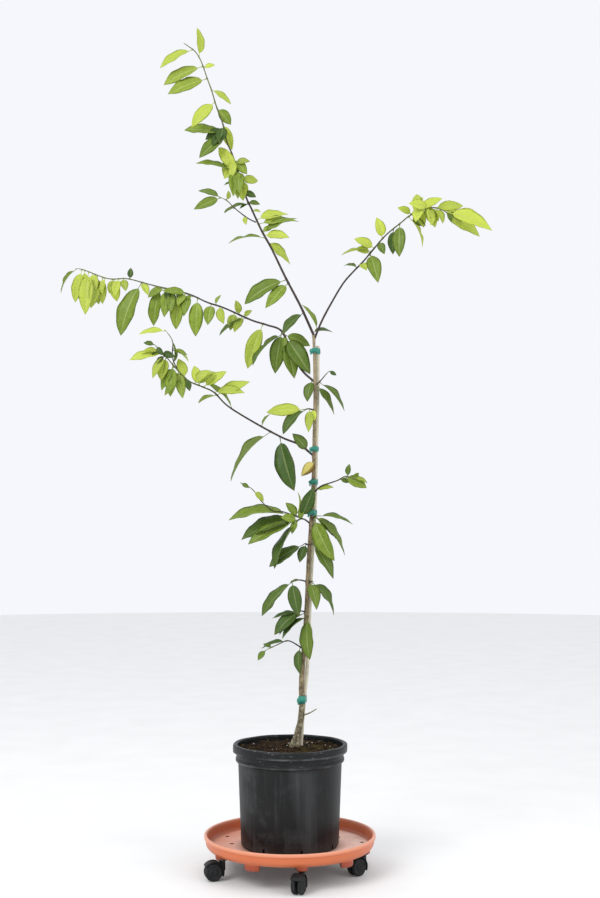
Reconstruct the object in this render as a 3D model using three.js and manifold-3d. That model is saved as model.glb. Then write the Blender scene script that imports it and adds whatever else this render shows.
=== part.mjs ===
// A young custard apple tree in a round nursery pot of soil, tied to a cane, on a wheeled plant caddy.
// Millimetres. Z is up, X is the viewer's right, Y points away from the viewer.
// Everything is laid out round the pot's axis at floor level. The end of the file moves the group so that
// its origin is the middle of the bounding box at floor level.
import * as THREE from "three";
import { mergeVertices } from "three/addons/utils/BufferGeometryUtils.js";
import Module from "manifold-3d";

const wasm = await Module();
wasm.setup();

const part = new THREE.Group();
part.name = "potted_custard_apple_tree";

// Clearances between pieces that touch or turn on each other in the real thing, and round living wood.
const CLEAR = 0.3;
const CLEAR_WOOD = 0.4;

const COLOR = {
  leaf: 0x6fa03a,
  yellowLeaf: 0xd9b23c,
  bark: 0x7d6a55,
  cane: 0xcbb39c,
  tie: 0x12806b,
  pot: 0x3a3f44,
  soil: 0x3b2c22,
  caddy: 0xd07a50,
  caster: 0x1c1c1e,
};

const degrees = THREE.MathUtils.degToRad;
const point = ([x, y, z]) => new THREE.Vector3(x, y, z);

// A point at a radius from the pot's axis. The angle is 0 at the front and grows towards the right.
const polar = (radius, angle, z) =>
  new THREE.Vector3(radius * Math.sin(degrees(angle)), -radius * Math.cos(degrees(angle)), z);

// Seeded draws from 0 to 1, so that every build grows the same plant.
function draws(seed) {
  let state = seed;
  return () => {
    state = (state * 16807) % 2147483647;
    return state / 2147483647;
  };
}

// Straight lines between the [place, value] pairs of a table.
function interpolate(table, place) {
  let i = 1;
  while (i < table.length - 1 && table[i][0] < place) i += 1;
  const [x0, y0] = table[i - 1];
  const [x1, y1] = table[i];
  const share = THREE.MathUtils.clamp((place - x0) / (x1 - x0), 0, 1);
  return y0 + (y1 - y0) * share;
}

// Solids.

function solid(geometry) {
  const bare = geometry.index ? geometry.toNonIndexed() : geometry.clone();
  bare.deleteAttribute("normal");
  bare.deleteAttribute("uv");
  const merged = mergeVertices(bare, 1e-4);
  const corners = merged.index.array;
  const kept = [];
  for (let i = 0; i < corners.length; i += 3) {
    const [a, b, c] = [corners[i], corners[i + 1], corners[i + 2]];
    if (a !== b && b !== c && c !== a) kept.push(a, b, c);
  }
  return new wasm.Manifold(
    new wasm.Mesh({
      numProp: 3,
      vertProperties: new Float32Array(merged.attributes.position.array),
      triVerts: new Uint32Array(kept),
    }),
  );
}

const union = (solids) => solids.reduce((sum, next) => sum.add(next));

// The largest body of a solid: a cut can leave a loose scrap, which is dropped.
function largest(cut) {
  return cut.decompose().reduce((best, body) => (body.volume() > best.volume() ? body : best));
}

function addNode(name, made, color) {
  const mesh = made.getMesh();
  const geometry = new THREE.BufferGeometry();
  geometry.setAttribute("position", new THREE.BufferAttribute(new Float32Array(mesh.vertProperties), 3));
  geometry.setIndex(new THREE.BufferAttribute(new Uint32Array(mesh.triVerts), 1));
  const faceted = geometry.toNonIndexed();
  faceted.computeVertexNormals();
  const node = new THREE.Mesh(faceted, new THREE.MeshStandardMaterial({ color, roughness: 0.6 }));
  node.name = name;
  part.add(node);
}

// A closed [radius, height] outline turned about the Z axis. It runs up the outside and down the inside.
function turned(outline, segments) {
  const lathe = new THREE.LatheGeometry(
    [...outline, outline[0]].map(([radius, height]) => new THREE.Vector2(radius, height)),
    segments,
  );
  return solid(lathe.rotateX(Math.PI / 2).rotateZ(Math.PI / segments));
}

// An upright cylinder or cone from one height to another.
function upright(x, y, low, high, radius, segments, topRadius = radius) {
  const cylinder = new THREE.CylinderGeometry(topRadius, radius, high - low, segments);
  return solid(cylinder.rotateX(Math.PI / 2).translate(x, y, (low + high) / 2));
}

// A cylinder along Y whose lowest facet lies flat.
function roller(x, z, near, far, radius, segments) {
  const cylinder = new THREE.CylinderGeometry(radius, radius, far - near, segments);
  return solid(cylinder.rotateY(Math.PI / segments).translate(x, (near + far) / 2, z));
}

// Closed skin over rings of points that follow each other, each ring counter-clockwise about its course.
// The cap lists the triangles of an end ring. Where a ring runs over the top of a thin plate and back
// underneath, alike splits the faces of the underside as it splits those above them.
function skinned(rings, cap, alike) {
  const size = rings[0].length;
  const positions = [];
  const triangle = (a, b, c) => positions.push(...a, ...b, ...c);
  for (let i = 0; i + 1 < rings.length; i += 1) {
    for (let j = 0; j < size; j += 1) {
      const k = (j + 1) % size;
      const [a, b, c, d] = [rings[i][j], rings[i][k], rings[i + 1][k], rings[i + 1][j]];
      if (alike && j >= size / 2) {
        triangle(a, b, d);
        triangle(b, c, d);
      } else {
        triangle(a, b, c);
        triangle(a, c, d);
      }
    }
  }
  const first = rings[0];
  const last = rings[rings.length - 1];
  for (const [a, b, c] of cap) {
    triangle(first[a], first[c], first[b]);
    triangle(last[a], last[b], last[c]);
  }
  const geometry = new THREE.BufferGeometry();
  geometry.setAttribute("position", new THREE.Float32BufferAttribute(positions, 3));
  return solid(geometry);
}

const curveOf = (route) => new THREE.CatmullRomCurve3(route.map(point), false, "catmullrom", 0.5);

// A round stem along a route. Its radius is a function of the point that it passes through.
function stemSolid(route, radiusAt, sides, spacing) {
  const curve = curveOf(route);
  const steps = Math.max(2, Math.round(curve.getLength() / spacing));
  const away = new THREE.Vector3(0, 1, 0);
  const rings = [];
  for (let i = 0; i <= steps; i += 1) {
    const centre = curve.getPointAt(i / steps);
    const course = curve.getTangentAt(i / steps);
    const across = away.clone().cross(course).normalize();
    const over = course.clone().cross(across);
    const radius = radiusAt(centre, i / steps);
    const ring = [];
    for (let j = 0; j < sides; j += 1) {
      const angle = (2 * Math.PI * j) / sides;
      const spot = centre
        .clone()
        .addScaledVector(across, radius * Math.cos(angle))
        .addScaledVector(over, radius * Math.sin(angle));
      ring.push(spot.toArray());
    }
    rings.push(ring);
  }
  const fan = [];
  for (let j = 1; j + 1 < sides; j += 1) fan.push([0, j, j + 1]);
  return skinned(rings, fan, false);
}

const tapered = (thick, thin) => (centre, place) => thick + (thin - thick) * place;

// Leaves.

const LEAF = {
  petiole: 0.13,
  petioleWidth: 2,
  petioleThickness: 1.5,
  thickness: 0.75,
  tipWidth: 1,
  youngWidth: 0.35,
  oldWidth: 0.39,
  shortWidth: 0.5,
  short: 60,
  smallest: 30,
  blade: { rise: 0.65, fall: 0.95, scale: 2.946 },
  light: new THREE.Vector3(0, -0.8, 0.6),
};

// Where a leaf's cross-sections lie, as shares of its length. A shorter leaf has fewer.
function sectionsOf(length) {
  if (length < 50) return [0, 0.5, 1];
  if (length < 90) return [0, LEAF.petiole, 0.48, 1];
  return [0, LEAF.petiole, 0.36, 0.67, 1];
}

// The blade's full width at a share of the leaf's length: a pointed oval, widest before the middle.
function bladeWidth(length, age, place) {
  const x = (place - LEAF.petiole) / (1 - LEAF.petiole);
  if (x <= 0) return LEAF.petioleWidth;
  const oval = LEAF.blade.scale * x ** LEAF.blade.rise * (1 - x) ** LEAF.blade.fall;
  const share = THREE.MathUtils.lerp(LEAF.youngWidth, LEAF.oldWidth, age);
  const widest = length * (length < LEAF.short ? LEAF.shortWidth : share);
  return Math.max(LEAF.tipWidth, widest * oval);
}

// One leaf: a petiole, then a blade that arches over, folds up a little along its midrib and waves at its
// edges. Swing 0 hangs straight down, 90 points right, -90 left and 180 up. Lean tips the leaf away from the
// viewer, or towards the viewer where it is negative. Age runs from 0, soft and narrow, to 1, full and wide.
// Turn rolls the blade about its length and is drawn where the row has none.
function leafSolid(base, [, length, swing, lean, age, turn], draw) {
  const [rollDraw, archDraw, foldDraw, waveDraw] = [draw(), draw(), draw(), draw()];
  const roll = turn === undefined ? 60 * (rollDraw - 0.5) : turn;
  const arch = 0.2 + 0.25 * archDraw;
  const fold = degrees(10 + 14 * foldDraw);
  const wave = length * (0.01 + 0.02 * waveDraw);
  const cosLean = Math.cos(degrees(lean));
  const along = new THREE.Vector3(
    Math.sin(degrees(swing)) * cosLean,
    Math.sin(degrees(lean)),
    -Math.cos(degrees(swing)) * cosLean,
  );
  const face = LEAF.light
    .clone()
    .addScaledVector(along, -LEAF.light.dot(along))
    .normalize()
    .applyAxisAngle(along, degrees(roll));
  const start = along.clone().addScaledVector(face, arch).normalize();
  const end = along.clone().addScaledVector(face, -arch).normalize();
  const rings = sectionsOf(length).map((place, i) => {
    const middle = base
      .clone()
      .addScaledVector(start, length * (place - place ** 2 / 2))
      .addScaledVector(end, (length * place ** 2) / 2);
    const course = start.clone().lerp(end, place).normalize();
    const across = course.clone().cross(face).normalize();
    const up = across.clone().cross(course);
    const half = bladeWidth(length, age, place) / 2;
    const onBlade = place > LEAF.petiole && place < 1;
    const thickness = place > LEAF.petiole ? LEAF.thickness : LEAF.petioleThickness;
    const lift = onBlade ? half * Math.sin(fold) : 0;
    const reach = onBlade ? half * Math.cos(fold) : half;
    const ripple = onBlade ? wave * (-1) ** i : 0;
    const spot = (side, height) =>
      middle.clone().addScaledVector(across, side).addScaledVector(up, height).toArray();
    // The midrib's two points fall on the left edge along the petiole and at the tip, which don't fold.
    const rib = onBlade ? 0 : -reach;
    return [
      spot(-reach, lift + ripple),
      spot(rib, 0),
      spot(reach, lift - ripple),
      spot(reach, lift - ripple - thickness),
      spot(rib, -thickness),
      spot(-reach, lift + ripple - thickness),
    ];
  });
  const cap = [
    [0, 1, 4],
    [0, 4, 5],
    [1, 2, 3],
    [1, 3, 4],
  ];
  return skinned(rings, cap, true);
}

// Pot and soil.

const POT = {
  segments: 28,
  foot: 58.3,
  top: 287,
  wall: 1.9,
  footRadius: 108,
  bodyLow: 111.5,
  bodyHigh: 118.7,
  beadRadius: 124.5,
  neckRadius: 123,
  lipRadius: 131,
  lipDepth: 17.5,
  neckDepth: 31,
  beadDepth: 38,
  shoulderDepth: 42,
  floor: 2.2,
};

const slots = { count: 8, angle: 14, width: 5.5, low: 60, high: 71.5 };

function makePot() {
  const { top, wall } = POT;
  const inner = POT.neckRadius - wall;
  const outline = [
    [0, POT.foot],
    [POT.footRadius, POT.foot],
    [POT.bodyLow, POT.foot + 5],
    [POT.bodyHigh, top - POT.shoulderDepth],
    [POT.beadRadius, top - POT.beadDepth],
    [POT.beadRadius, top - POT.neckDepth],
    [POT.neckRadius, top - POT.neckDepth + 0.5],
    [POT.neckRadius, top - 2.5],
    [POT.lipRadius - wall, top - 2.5],
    [POT.lipRadius - wall, top - POT.lipDepth],
    [POT.lipRadius, top - POT.lipDepth],
    [POT.lipRadius + 0.4, top - 3],
    [POT.lipRadius - 1.5, top],
    [inner + 2, top],
    [inner, top - 2],
    [inner, top - POT.neckDepth + 0.5],
    [POT.bodyHigh - wall, top - POT.shoulderDepth],
    [POT.bodyLow - wall, POT.foot + 5],
    [POT.footRadius - wall, POT.foot + POT.floor],
    [0, POT.foot + POT.floor],
  ];
  let pot = turned(outline, POT.segments);
  for (let i = 0; i < slots.count; i += 1) {
    const angle = slots.angle + (360 / slots.count) * i;
    const { x, y } = polar(POT.bodyLow, angle, 0);
    const slot = new THREE.BoxGeometry(slots.width, 12, slots.high - slots.low)
      .rotateZ(degrees(angle))
      .translate(x, y, (slots.low + slots.high) / 2);
    pot = pot.subtract(solid(slot));
  }
  return pot;
}

const SOIL = { middle: 279, fall: 4, rings: [65] };

// The height of the soil's surface: a low dome with a few soft bumps.
function soilHeight(x, y) {
  const reach = Math.hypot(x, y) / (POT.neckRadius - POT.wall);
  const bumps = 1.6 * Math.sin(0.06 * x + 1) * Math.cos(0.05 * y) + 0.9 * Math.sin(0.11 * y + 0.09 * x);
  return SOIL.middle - SOIL.fall * reach ** 2 + bumps;
}

function makeSoil() {
  const inset = POT.wall + CLEAR;
  const { top } = POT;
  const bottom = [
    [POT.footRadius - inset, POT.foot + POT.floor + CLEAR],
    [POT.bodyLow - inset, POT.foot + 5],
    [POT.bodyHigh - inset, top - POT.shoulderDepth],
    [POT.neckRadius - inset, top - POT.neckDepth + 0.5],
  ];
  const rim = POT.neckRadius - inset;
  const rings = [...bottom.map(([radius, z]) => [radius, () => z]), [rim, soilHeight]];
  for (const radius of [...SOIL.rings].reverse()) rings.push([radius, soilHeight]);
  const corners = rings.map(([radius, height]) => {
    const ring = [];
    for (let j = 0; j < POT.segments; j += 1) {
      const angle = (2 * Math.PI * (j + 0.5)) / POT.segments;
      const x = radius * Math.cos(angle);
      const y = radius * Math.sin(angle);
      ring.push([x, y, height(x, y)]);
    }
    return ring;
  });
  const fan = [];
  for (let j = 1; j + 1 < POT.segments; j += 1) fan.push([0, j, j + 1]);
  return skinned(corners, fan, false);
}

// Trunk and cane.

const TRUNK = {
  sides: 8,
  spacing: 48,
  route: [
    [9, 0, 205],
    [12, 0, 276],
    [18, -1, 312],
    [24, -1, 338],
    [27, -1, 362],
    [27, 0, 390],
    [27, 0, 435],
    [34, 0, 522],
    [39, 0, 614],
    [43, 0, 706],
    [49, 0, 798],
    [54, 0, 891],
    [56, 0, 985],
    [58, 0, 1078],
    [57, 0, 1172],
    [55, 0, 1231],
  ],
  radii: [
    [205, 6],
    [276, 8.6],
    [300, 8],
    [330, 6.9],
    [385, 6.5],
    [430, 6.3],
    [470, 5.4],
    [800, 4.5],
    [1078, 3.9],
    [1231, 3.3],
  ],
  roots: [
    [[17, -1, 308], [10, -6, 290], [3, -11, 276], [-1, -15, 262]],
    [[17, -1, 304], [20, -7, 288], [23, -12, 273], [26, -15, 260]],
    [[16, 1, 300], [12, 9, 284], [7, 16, 268], [5, 20, 258]],
  ],
  rootRadii: [4.6, 2.8],
  deadTwig: [[27, -2, 350], [44, -7, 356], [61, -10, 366]],
  deadTwigRadii: [2, 0.9],
};

const CANE = {
  sides: 6,
  spacing: 90,
  radius: 4.5,
  route: [
    [20, 15, 150],
    [25, 14, 280],
    [33, 14, 390],
    [38, 14, 435],
    [41, 13, 485],
    [46, 12, 613],
    [50, 12, 694],
    [54, 12, 752],
    [58, 12, 845],
    [61, 12, 962],
    [64, 12, 1080],
    [65, 12, 1207],
  ],
};

// The trunk with its root flares, grown by a clearance where it is used to cut a hole.
function trunkSolid(grow) {
  const [thick, thin] = TRUNK.rootRadii;
  const radiusAt = (centre) => interpolate(TRUNK.radii, centre.z) + grow;
  const trunk = stemSolid(TRUNK.route, radiusAt, TRUNK.sides, TRUNK.spacing);
  const roots = TRUNK.roots.map((route) => stemSolid(route, tapered(thick + grow, thin + grow), 5, 30));
  return union([trunk, ...roots]);
}

function caneSolid(grow) {
  return stemSolid(CANE.route, () => CANE.radius + grow, CANE.sides, CANE.spacing);
}

// Where a route passes a height.
function crossing(route, z) {
  const i = Math.max(1, route.findIndex((spot) => spot[2] >= z));
  const [low, high] = [point(route[i - 1]), point(route[i])];
  return low.lerp(high, (z - low.z) / (high.z - low.z));
}

// Ties of stretch tape, from the top down: height, width of the tape.
const TIES = [
  [1194, 13],
  [964, 12],
  [887, 12],
  [815, 13],
  [386, 17],
];
const TAPE = 1.7;

// A band of tape round trunk and cane, with its knot on the viewer's side.
function tieSolid(z, width, cut) {
  const trunk = crossing(TRUNK.route, z);
  const cane = crossing(CANE.route, z);
  const trunkRadius = interpolate(TRUNK.radii, z) + CLEAR_WOOD + TAPE;
  const caneRadius = CANE.radius + CLEAR_WOOD + TAPE;
  const axis = Math.atan2(cane.y - trunk.y, cane.x - trunk.x);
  const span = Math.hypot(cane.y - trunk.y, cane.x - trunk.x);
  const half = Math.acos((trunkRadius - caneRadius) / span);
  const outline = new THREE.Shape();
  outline.absarc(trunk.x, trunk.y, trunkRadius, axis + half, axis - half + 2 * Math.PI, false);
  outline.absarc(cane.x, cane.y, caneRadius, axis - half, axis + half, false);
  const band = new THREE.ExtrudeGeometry(outline, { depth: width, bevelEnabled: false, curveSegments: 3 });
  band.translate(0, 0, z - width / 2);
  const above = crossing(TRUNK.route, z + 20);
  const slope = (above.x - trunk.x) / 20;
  const spots = band.attributes.position;
  for (let i = 0; i < spots.count; i += 1) spots.setX(i, spots.getX(i) + slope * (spots.getZ(i) - z));
  const knot = new THREE.OctahedronGeometry(1, 0)
    .scale(10.5, 5, width * 0.75)
    .translate(trunk.x - 1, trunk.y - trunkRadius - 1, z);
  return largest(union([solid(band), solid(knot)]).subtract(cut));
}

// Leafy shoots.

// Each node is one shoot with its side stems. A stem has a route, its radii at the base and the tip, and
// leaves as [place along the stem, length, swing, lean, age, turn].
const SHOOTS = {
  leader: [
    {
      route: [
        [55, 0, 1231],
        [24, 6, 1301],
        [-12, 14, 1372],
        [-43, 20, 1438],
        [-69, 26, 1487],
        [-93, 30, 1540],
        [-106, 32, 1569],
        [-137, 36, 1666],
        [-152, 38, 1704],
        [-162, 38, 1747],
        [-178, 38, 1791],
        [-190, 36, 1831],
        [-200, 34, 1858],
        [-214, 32, 1898],
        [-229, 30, 1923],
        [-245, 28, 1935],
        [-257, 26, 1943],
      ],
      radii: [3.1, 1.2],
      leaves: [
        [0.01, 54, 94, 22, 1, -32],
        [0.075, 80, -42, -15, 0.95],
        [0.178, 88, -40, -14, 0.45, -15],
        [0.19, 124, -60, 5, 0.65, -5],
        [0.325, 80, 46, 15, 0.22, -5],
        [0.345, 72, 78, -25, 0.1, 10],
        [0.355, 92, 110, -10, 0.6, -12],
        [0.335, 98, -79, -10, 0.6, 40],
        [0.385, 100, 93, 0, 0.4, -12],
        [0.46, 30, 80, 0, 0.8, 20],
        [0.495, 34, 62, -10, 0.95, 30],
        [0.535, 48, 92, 25, 0.25, 40],
        [0.57, 88, -5, -24, 0.2, 0],
        [0.56, 85, 5, -34, 0.3, 0],
        [0.55, 112, -105, 0, 0.35, 24],
        [0.59, 40, 88, -20, 0.35, 20],
        [0.6, 52, 40, -8, 0.4, 20],
        [0.56, 88, -143, 10, 0.08, -30],
        [0.62, 68, -20, 24, 0.1, 0],
        [0.4, 84, 103, 15, 0.15, 5],
        [0.68, 92, -45, -14, 0.75, -14],
        [0.72, 70, 20, 15, 0.12, 15],
        [0.685, 104, -97, 5, 0.7, 0],
        [0.77, 54, 43, 20, 0.45, 30],
        [0.79, 94, -38, -14, 0.08, -15],
        [0.83, 60, 55, 10, 0.2, -10],
        [0.865, 104, -68, 0, 0.25, -22],
        [0.9, 30, 104, 0, 0.1],
        [0.905, 108, -67, 8, 0.2, -14],
        [0.935, 78, -176, 0, 0.1, 35],
        [0.965, 95, -58, -5, 0.1, 0],
      ],
    },
    {
      route: [
        [-82, 27, 1506],
        [-100, 18, 1513],
        [-118, 8, 1524],
        [-134, -4, 1535],
        [-148, -14, 1547],
        [-162, -24, 1552],
      ],
      radii: [1.6, 1],
      leaves: [
        [0.3, 24, 10, -10, 0.15],
        [0.6, 30, -60, -10, 0.8, 25],
        [1, 60, -108, 5, 0.6, -8],
        [0.85, 26, 170, 5, 0.25, 50],
        [1, 72, -64, -8, 0.4, -28],
      ],
    },
  ],
  right_branch: [
    {
      route: [
        [57, 0, 1222],
        [64, -5, 1240],
        [76, -11, 1267],
        [96, -22, 1303],
        [123, -38, 1346],
        [148, -50, 1373],
        [168, -60, 1392],
        [192, -72, 1419],
        [220, -84, 1449],
        [255, -96, 1476],
        [271, -102, 1488],
        [299, -112, 1503],
        [330, -122, 1502],
        [354, -130, 1490],
      ],
      radii: [2.6, 1.1],
      leaves: [
        [0.05, 72, -147, -5, 0.55, 36],
        [0.43, 40, -104, 30, 0.85],
        [0.46, 40, 23, -50, 0.1],
        [0.525, 90, 12, -25, 0.6],
        [0.54, 78, -80, -10, 0.25, 32],
        [0.53, 40, -100, -10, 0.2],
        [0.56, 54, -112, -10, 0.05, -20],
        [0.6, 38, 18, -20, 0.8, 25],
        [0.62, 54, -164, -10, 0.05, 0],
        [0.695, 62, 0, 20, 1, 20],
        [0.735, 84, -2, -10, 0.75, 15],
        [0.81, 38, -112, -12, 0.1, -25],
        [0.79, 82, 27, 15, 0.15, -54],
        [0.82, 44, 150, 0, 0.05, 0],
        [0.85, 62, 112, -20, 0.05, 20],
        [0.845, 44, 20, 10, 0.1, 0],
        [0.84, 46, 178, 15, 0.1, 0],
        [0.88, 58, 26, -12, 0.25, 0],
        [0.9, 52, -95, -25, 0.03, -35],
        [0.93, 70, 96, 10, 0.15, 30],
        [0.965, 114, 58, 12, 0.12, 20],
        [0.99, 50, 50, 10, 0.75, 20],
        [1, 118, 64, -12, 0.05, 15],
      ],
    },
  ],
  upper_left_branch: [
    {
      route: [
        [56, 0, 1121],
        [26, 14, 1152],
        [0, 26, 1200],
        [-21, 38, 1247],
        [-57, 52, 1264],
        [-95, 64, 1278],
        [-160, 82, 1310],
        [-202, 94, 1326],
        [-250, 106, 1349],
        [-331, 124, 1372],
        [-361, 130, 1381],
        [-404, 138, 1393],
        [-452, 146, 1395],
        [-511, 156, 1418],
        [-531, 160, 1423],
      ],
      radii: [2.8, 1.1],
      leaves: [
        [0.01, 58, -12, -15, 0.85, 20],
        [0.19, 118, 33, -12, 0.85, 15],
        [0.2, 72, 68, 10, 0.7, 25],
        [0.185, 102, 12, -8, 0.65, 0],
        [0.195, 34, 0, -20, 0.65],
        [0.215, 108, -9, 4, 0.75, 0],
        [0.205, 118, -42, -12, 0.85, 55],
        [0.29, 116, -19, 5, 0.3, 0],
        [0.365, 28, 125, -10, 0.3, 20],
        [0.355, 80, -55, -5, 0.9, 42],
        [0.4, 50, -12, -10, 0.4, 0],
        [0.49, 59, -8, -15, 0.45, 0],
        [0.545, 100, -3, 5, 0.45, 0],
        [0.575, 62, -14, -12, 0.6, 0],
        [0.64, 66, -3, -20, 0.6],
        [0.685, 100, -11, 10, 0.5, 10],
        [0.61, 100, -8, 12, 0.4, 0],
        [0.585, 64, -95, -10, 0.55, -20],
        [0.66, 80, -4, -14, 0.45],
        [0.755, 42, 26, -20, 0.1],
        [0.8, 30, 176, 0, 1],
        [0.755, 150, -21, 0, 0.65, 12],
        [0.865, 58, 12, 12, 0.05, 0],
        [0.825, 40, 15, -20, 0.25, 0],
        [0.84, 52, -10, -16, 0.08, 0],
        [0.9, 70, -2, 15, 0.1, 0],
        [0.93, 82, 6, 14, 0.3, 0],
        [0.955, 114, -2, -8, 0.35, 0],
        [0.98, 88, -14, 14, 0.12, 0],
        [1, 80, -32, 0, 0.5, 65],
      ],
    },
  ],
  lower_left_branch: [
    {
      route: [
        [55, 0, 947],
        [23, -14, 972],
        [-16, -30, 987],
        [-64, -50, 1011],
        [-116, -72, 1040],
        [-146, -84, 1060],
        [-172, -95, 1086],
        [-197, -106, 1097],
        [-227, -118, 1109],
        [-251, -128, 1132],
        [-277, -138, 1162],
        [-300, -148, 1186],
      ],
      radii: [2.7, 1.1],
      leaves: [
        [0.04, 58, -138, -10, 0.85, -10],
        [0.212, 136, 15, -10, 1, 36],
        [0.265, 158, -38, -6, 0.75, 73],
        [0.32, 36, 145, 0, 0.6, -75],
        [0.62, 74, 89, 0, 0.1, 0],
        [0.6, 84, 113, 8, 0.08, 10],
        [0.6, 50, -68, 18, 0.5, 55],
        [0.68, 66, 124, 0, 0.12, 10],
        [0.49, 88, -136, -5, 0.5, 40],
        [0.73, 50, 128, -5, 0.12, 0],
        [0.87, 78, -4, 0, 0.45, 0],
        [0.8, 66, -38, -20, 0.5, 0],
        [0.76, 60, -100, -10, 0.35, -20],
        [0.93, 62, -26, -10, 0.2, 0],
        [0.87, 62, -176, 10, 0.8, 70],
        [0.95, 62, -78, 5, 0.5, 30],
        [0.94, 80, -79, -5, 0.12, 0],
        [0.96, 30, -60, -10, 1, 20],
        [1, 26, -100, 0, 0.9],
      ],
    },
    {
      route: [
        [-251, -128, 1132],
        [-262, -132, 1160],
        [-262, -134, 1196],
        [-277, -134, 1220],
      ],
      radii: [1.3, 0.9],
      leaves: [
        [1, 62, -82, -5, 0.1, 0],
      ],
    },
  ],
  right_spur: [
    {
      route: [
        [57, 0, 1111],
        [70, -5, 1122],
        [82, -8, 1136],
        [91, -9, 1145],
      ],
      radii: [1.5, 1.2],
      leaves: [
        [0.1, 84, 31, 5, 0.75, -36],
        [0.3, 96, 40, -8, 0.85, -46],
      ],
    },
  ],
  middle_left_shoot: [
    {
      route: [
        [57, 0, 1054],
        [44, -7, 1057],
        [34, -12, 1055],
      ],
      radii: [1.8, 1.3],
      leaves: [
        [0.5, 62, -3, -20, 0.2, 0],
        [0.8, 92, -42, -14, 0.95, 20],
        [1, 92, -86, 5, 0.12, -20],
      ],
    },
  ],
  yellow_leaf: [
    {
      route: [
        [56, -1, 936],
        [57, -8, 936],
        [57, -12, 934],
      ],
      radii: [1.3, 1.1],
      leaves: [
        [1, 52, -42, -20, 0.3],
      ],
    },
  ],
  right_twig: [
    {
      route: [
        [56, -1, 863],
        [72, -5, 877],
        [93, -14, 884],
        [111, -26, 890],
        [126, -36, 898],
        [142, -42, 895],
        [156, -48, 889],
      ],
      radii: [1.9, 1],
      leaves: [
        [0.06, 44, 98, -15, 0.25],
        [0.6, 26, 75, 10, 0.85, 30],
        [0.72, 58, 62, -5, 0.45, 10],
        [0.78, 30, 172, 0, 0.85],
        [0.85, 24, 120, 20, 0.5, 60],
        [0.9, 36, 70, -5, 0.4],
      ],
    },
  ],
  left_whorl: [
    {
      route: [
        [48, -1, 789],
        [30, -10, 801],
        [14, -18, 796],
      ],
      radii: [2.2, 1.4],
      leaves: [
        [0.85, 130, -26, -4, 0.95, 50],
        [0.92, 150, -71, 10, 0.9, 16],
        [1, 126, -64, -6, 0.85, 15],
      ],
    },
    {
      route: [
        [30, -10, 801],
        [-16, -16, 817],
        [-39, -20, 819],
        [-66, -26, 841],
        [-87, -32, 869],
        [-115, -38, 884],
      ],
      radii: [1.6, 0.9],
      leaves: [
        [0.03, 84, 157, -15, 1, 25],
        [0.1, 62, 176, 5, 0.1, 80],
        [0.16, 156, -85, 5, 0.6, 27],
        [0.78, 34, 42, 0, 0.3, 0],
        [0.98, 22, 60, 0, 0.8],
      ],
    },
    {
      route: [
        [44, -1, 738],
        [36, -8, 744],
        [30, -12, 741],
      ],
      radii: [1.7, 1.2],
      leaves: [
        [0.5, 48, -20, -15, 1],
        [0.9, 98, -57, -5, 0.95, 12],
      ],
    },
  ],
  right_whorl: [
    {
      route: [
        [49, -1, 796],
        [57, -11, 807],
        [64, -18, 808],
      ],
      radii: [2, 1.4],
      leaves: [
        [0.7, 122, 37, 10, 0.65, -45],
        [0.5, 122, 25, -8, 0.5, 40],
        [0.6, 80, 44, 20, 0.5, -15],
        [1, 88, 76, 0, 0.8, -36],
      ],
    },
    {
      route: [
        [45, -1, 738],
        [51, -10, 744],
        [56, -15, 741],
      ],
      radii: [1.6, 1.2],
      leaves: [
        [0.6, 98, 31, -5, 0.85, -22],
      ],
    },
  ],
  low_left_shoot: [
    {
      route: [
        [41, -1, 655],
        [23, -8, 660],
        [2, -14, 658],
      ],
      radii: [1.9, 1.2],
      leaves: [
        [0.35, 30, -80, -10, 0.8, 40],
        [0.95, 88, 11, -12, 0.85, 10],
        [0.85, 114, -42, 5, 0.9, 30],
      ],
    },
  ],
  low_right_shoot: [
    {
      route: [
        [41, -1, 650],
        [48, -10, 657],
        [55, -16, 656],
      ],
      radii: [1.8, 1.2],
      leaves: [
        [0.4, 82, 14, -35, 0.6],
        [0.6, 104, 34, 8, 0.9, -40],
      ],
    },
  ],
  low_left_cluster: [
    {
      route: [
        [38, -1, 585],
        [27, -8, 589],
        [18, -12, 587],
      ],
      radii: [1.9, 1.3],
      leaves: [
        [0.1, 84, -50, -12, 1, 50],
        [0.8, 88, -48, -16, 1, 5],
        [1, 62, -76, 0, 1, 25],
      ],
    },
  ],
  front_leaf: [
    {
      route: [
        [38, -1, 573],
        [42, -10, 578],
        [42, -16, 577],
      ],
      radii: [1.7, 1.3],
      leaves: [
        [1, 104, 2, -8, 0.75, 36],
      ],
    },
  ],
  bottom_left_shoot: [
    {
      route: [
        [32, -1, 500],
        [17, -10, 511],
        [-5, -20, 522],
        [-30, -28, 513],
        [-55, -34, 502],
      ],
      radii: [1.8, 1],
      leaves: [
        [0.12, 68, 0, -14, 0.95, 38],
        [0.5, 62, -72, 10, 1, 30],
        [0.85, 22, -110, 0, 0.9],
        [1, 30, -38, -10, 0.75],
      ],
    },
  ],
};

// A branch has five sides and a twig four. A bud or scale leaf up to the smallest length is too slight to
// matter as a solid, but it still takes its draws, so that the leaves after it keep their shapes.
const STEM = { branchRadius: 2.5, branchSides: 5, twigSides: 4, spacing: 50 };

function shootSolid(stems, draw) {
  const pieces = [];
  for (const { route, radii, leaves } of stems) {
    const sides = radii[0] > STEM.branchRadius ? STEM.branchSides : STEM.twigSides;
    pieces.push(stemSolid(route, tapered(...radii), sides, STEM.spacing));
    const curve = curveOf(route);
    for (const leaf of leaves) {
      const blade = leafSolid(curve.getPointAt(leaf[0]), leaf, draw);
      if (leaf[1] > LEAF.smallest) pieces.push(blade);
    }
  }
  return union(pieces);
}

// Caddy.

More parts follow.
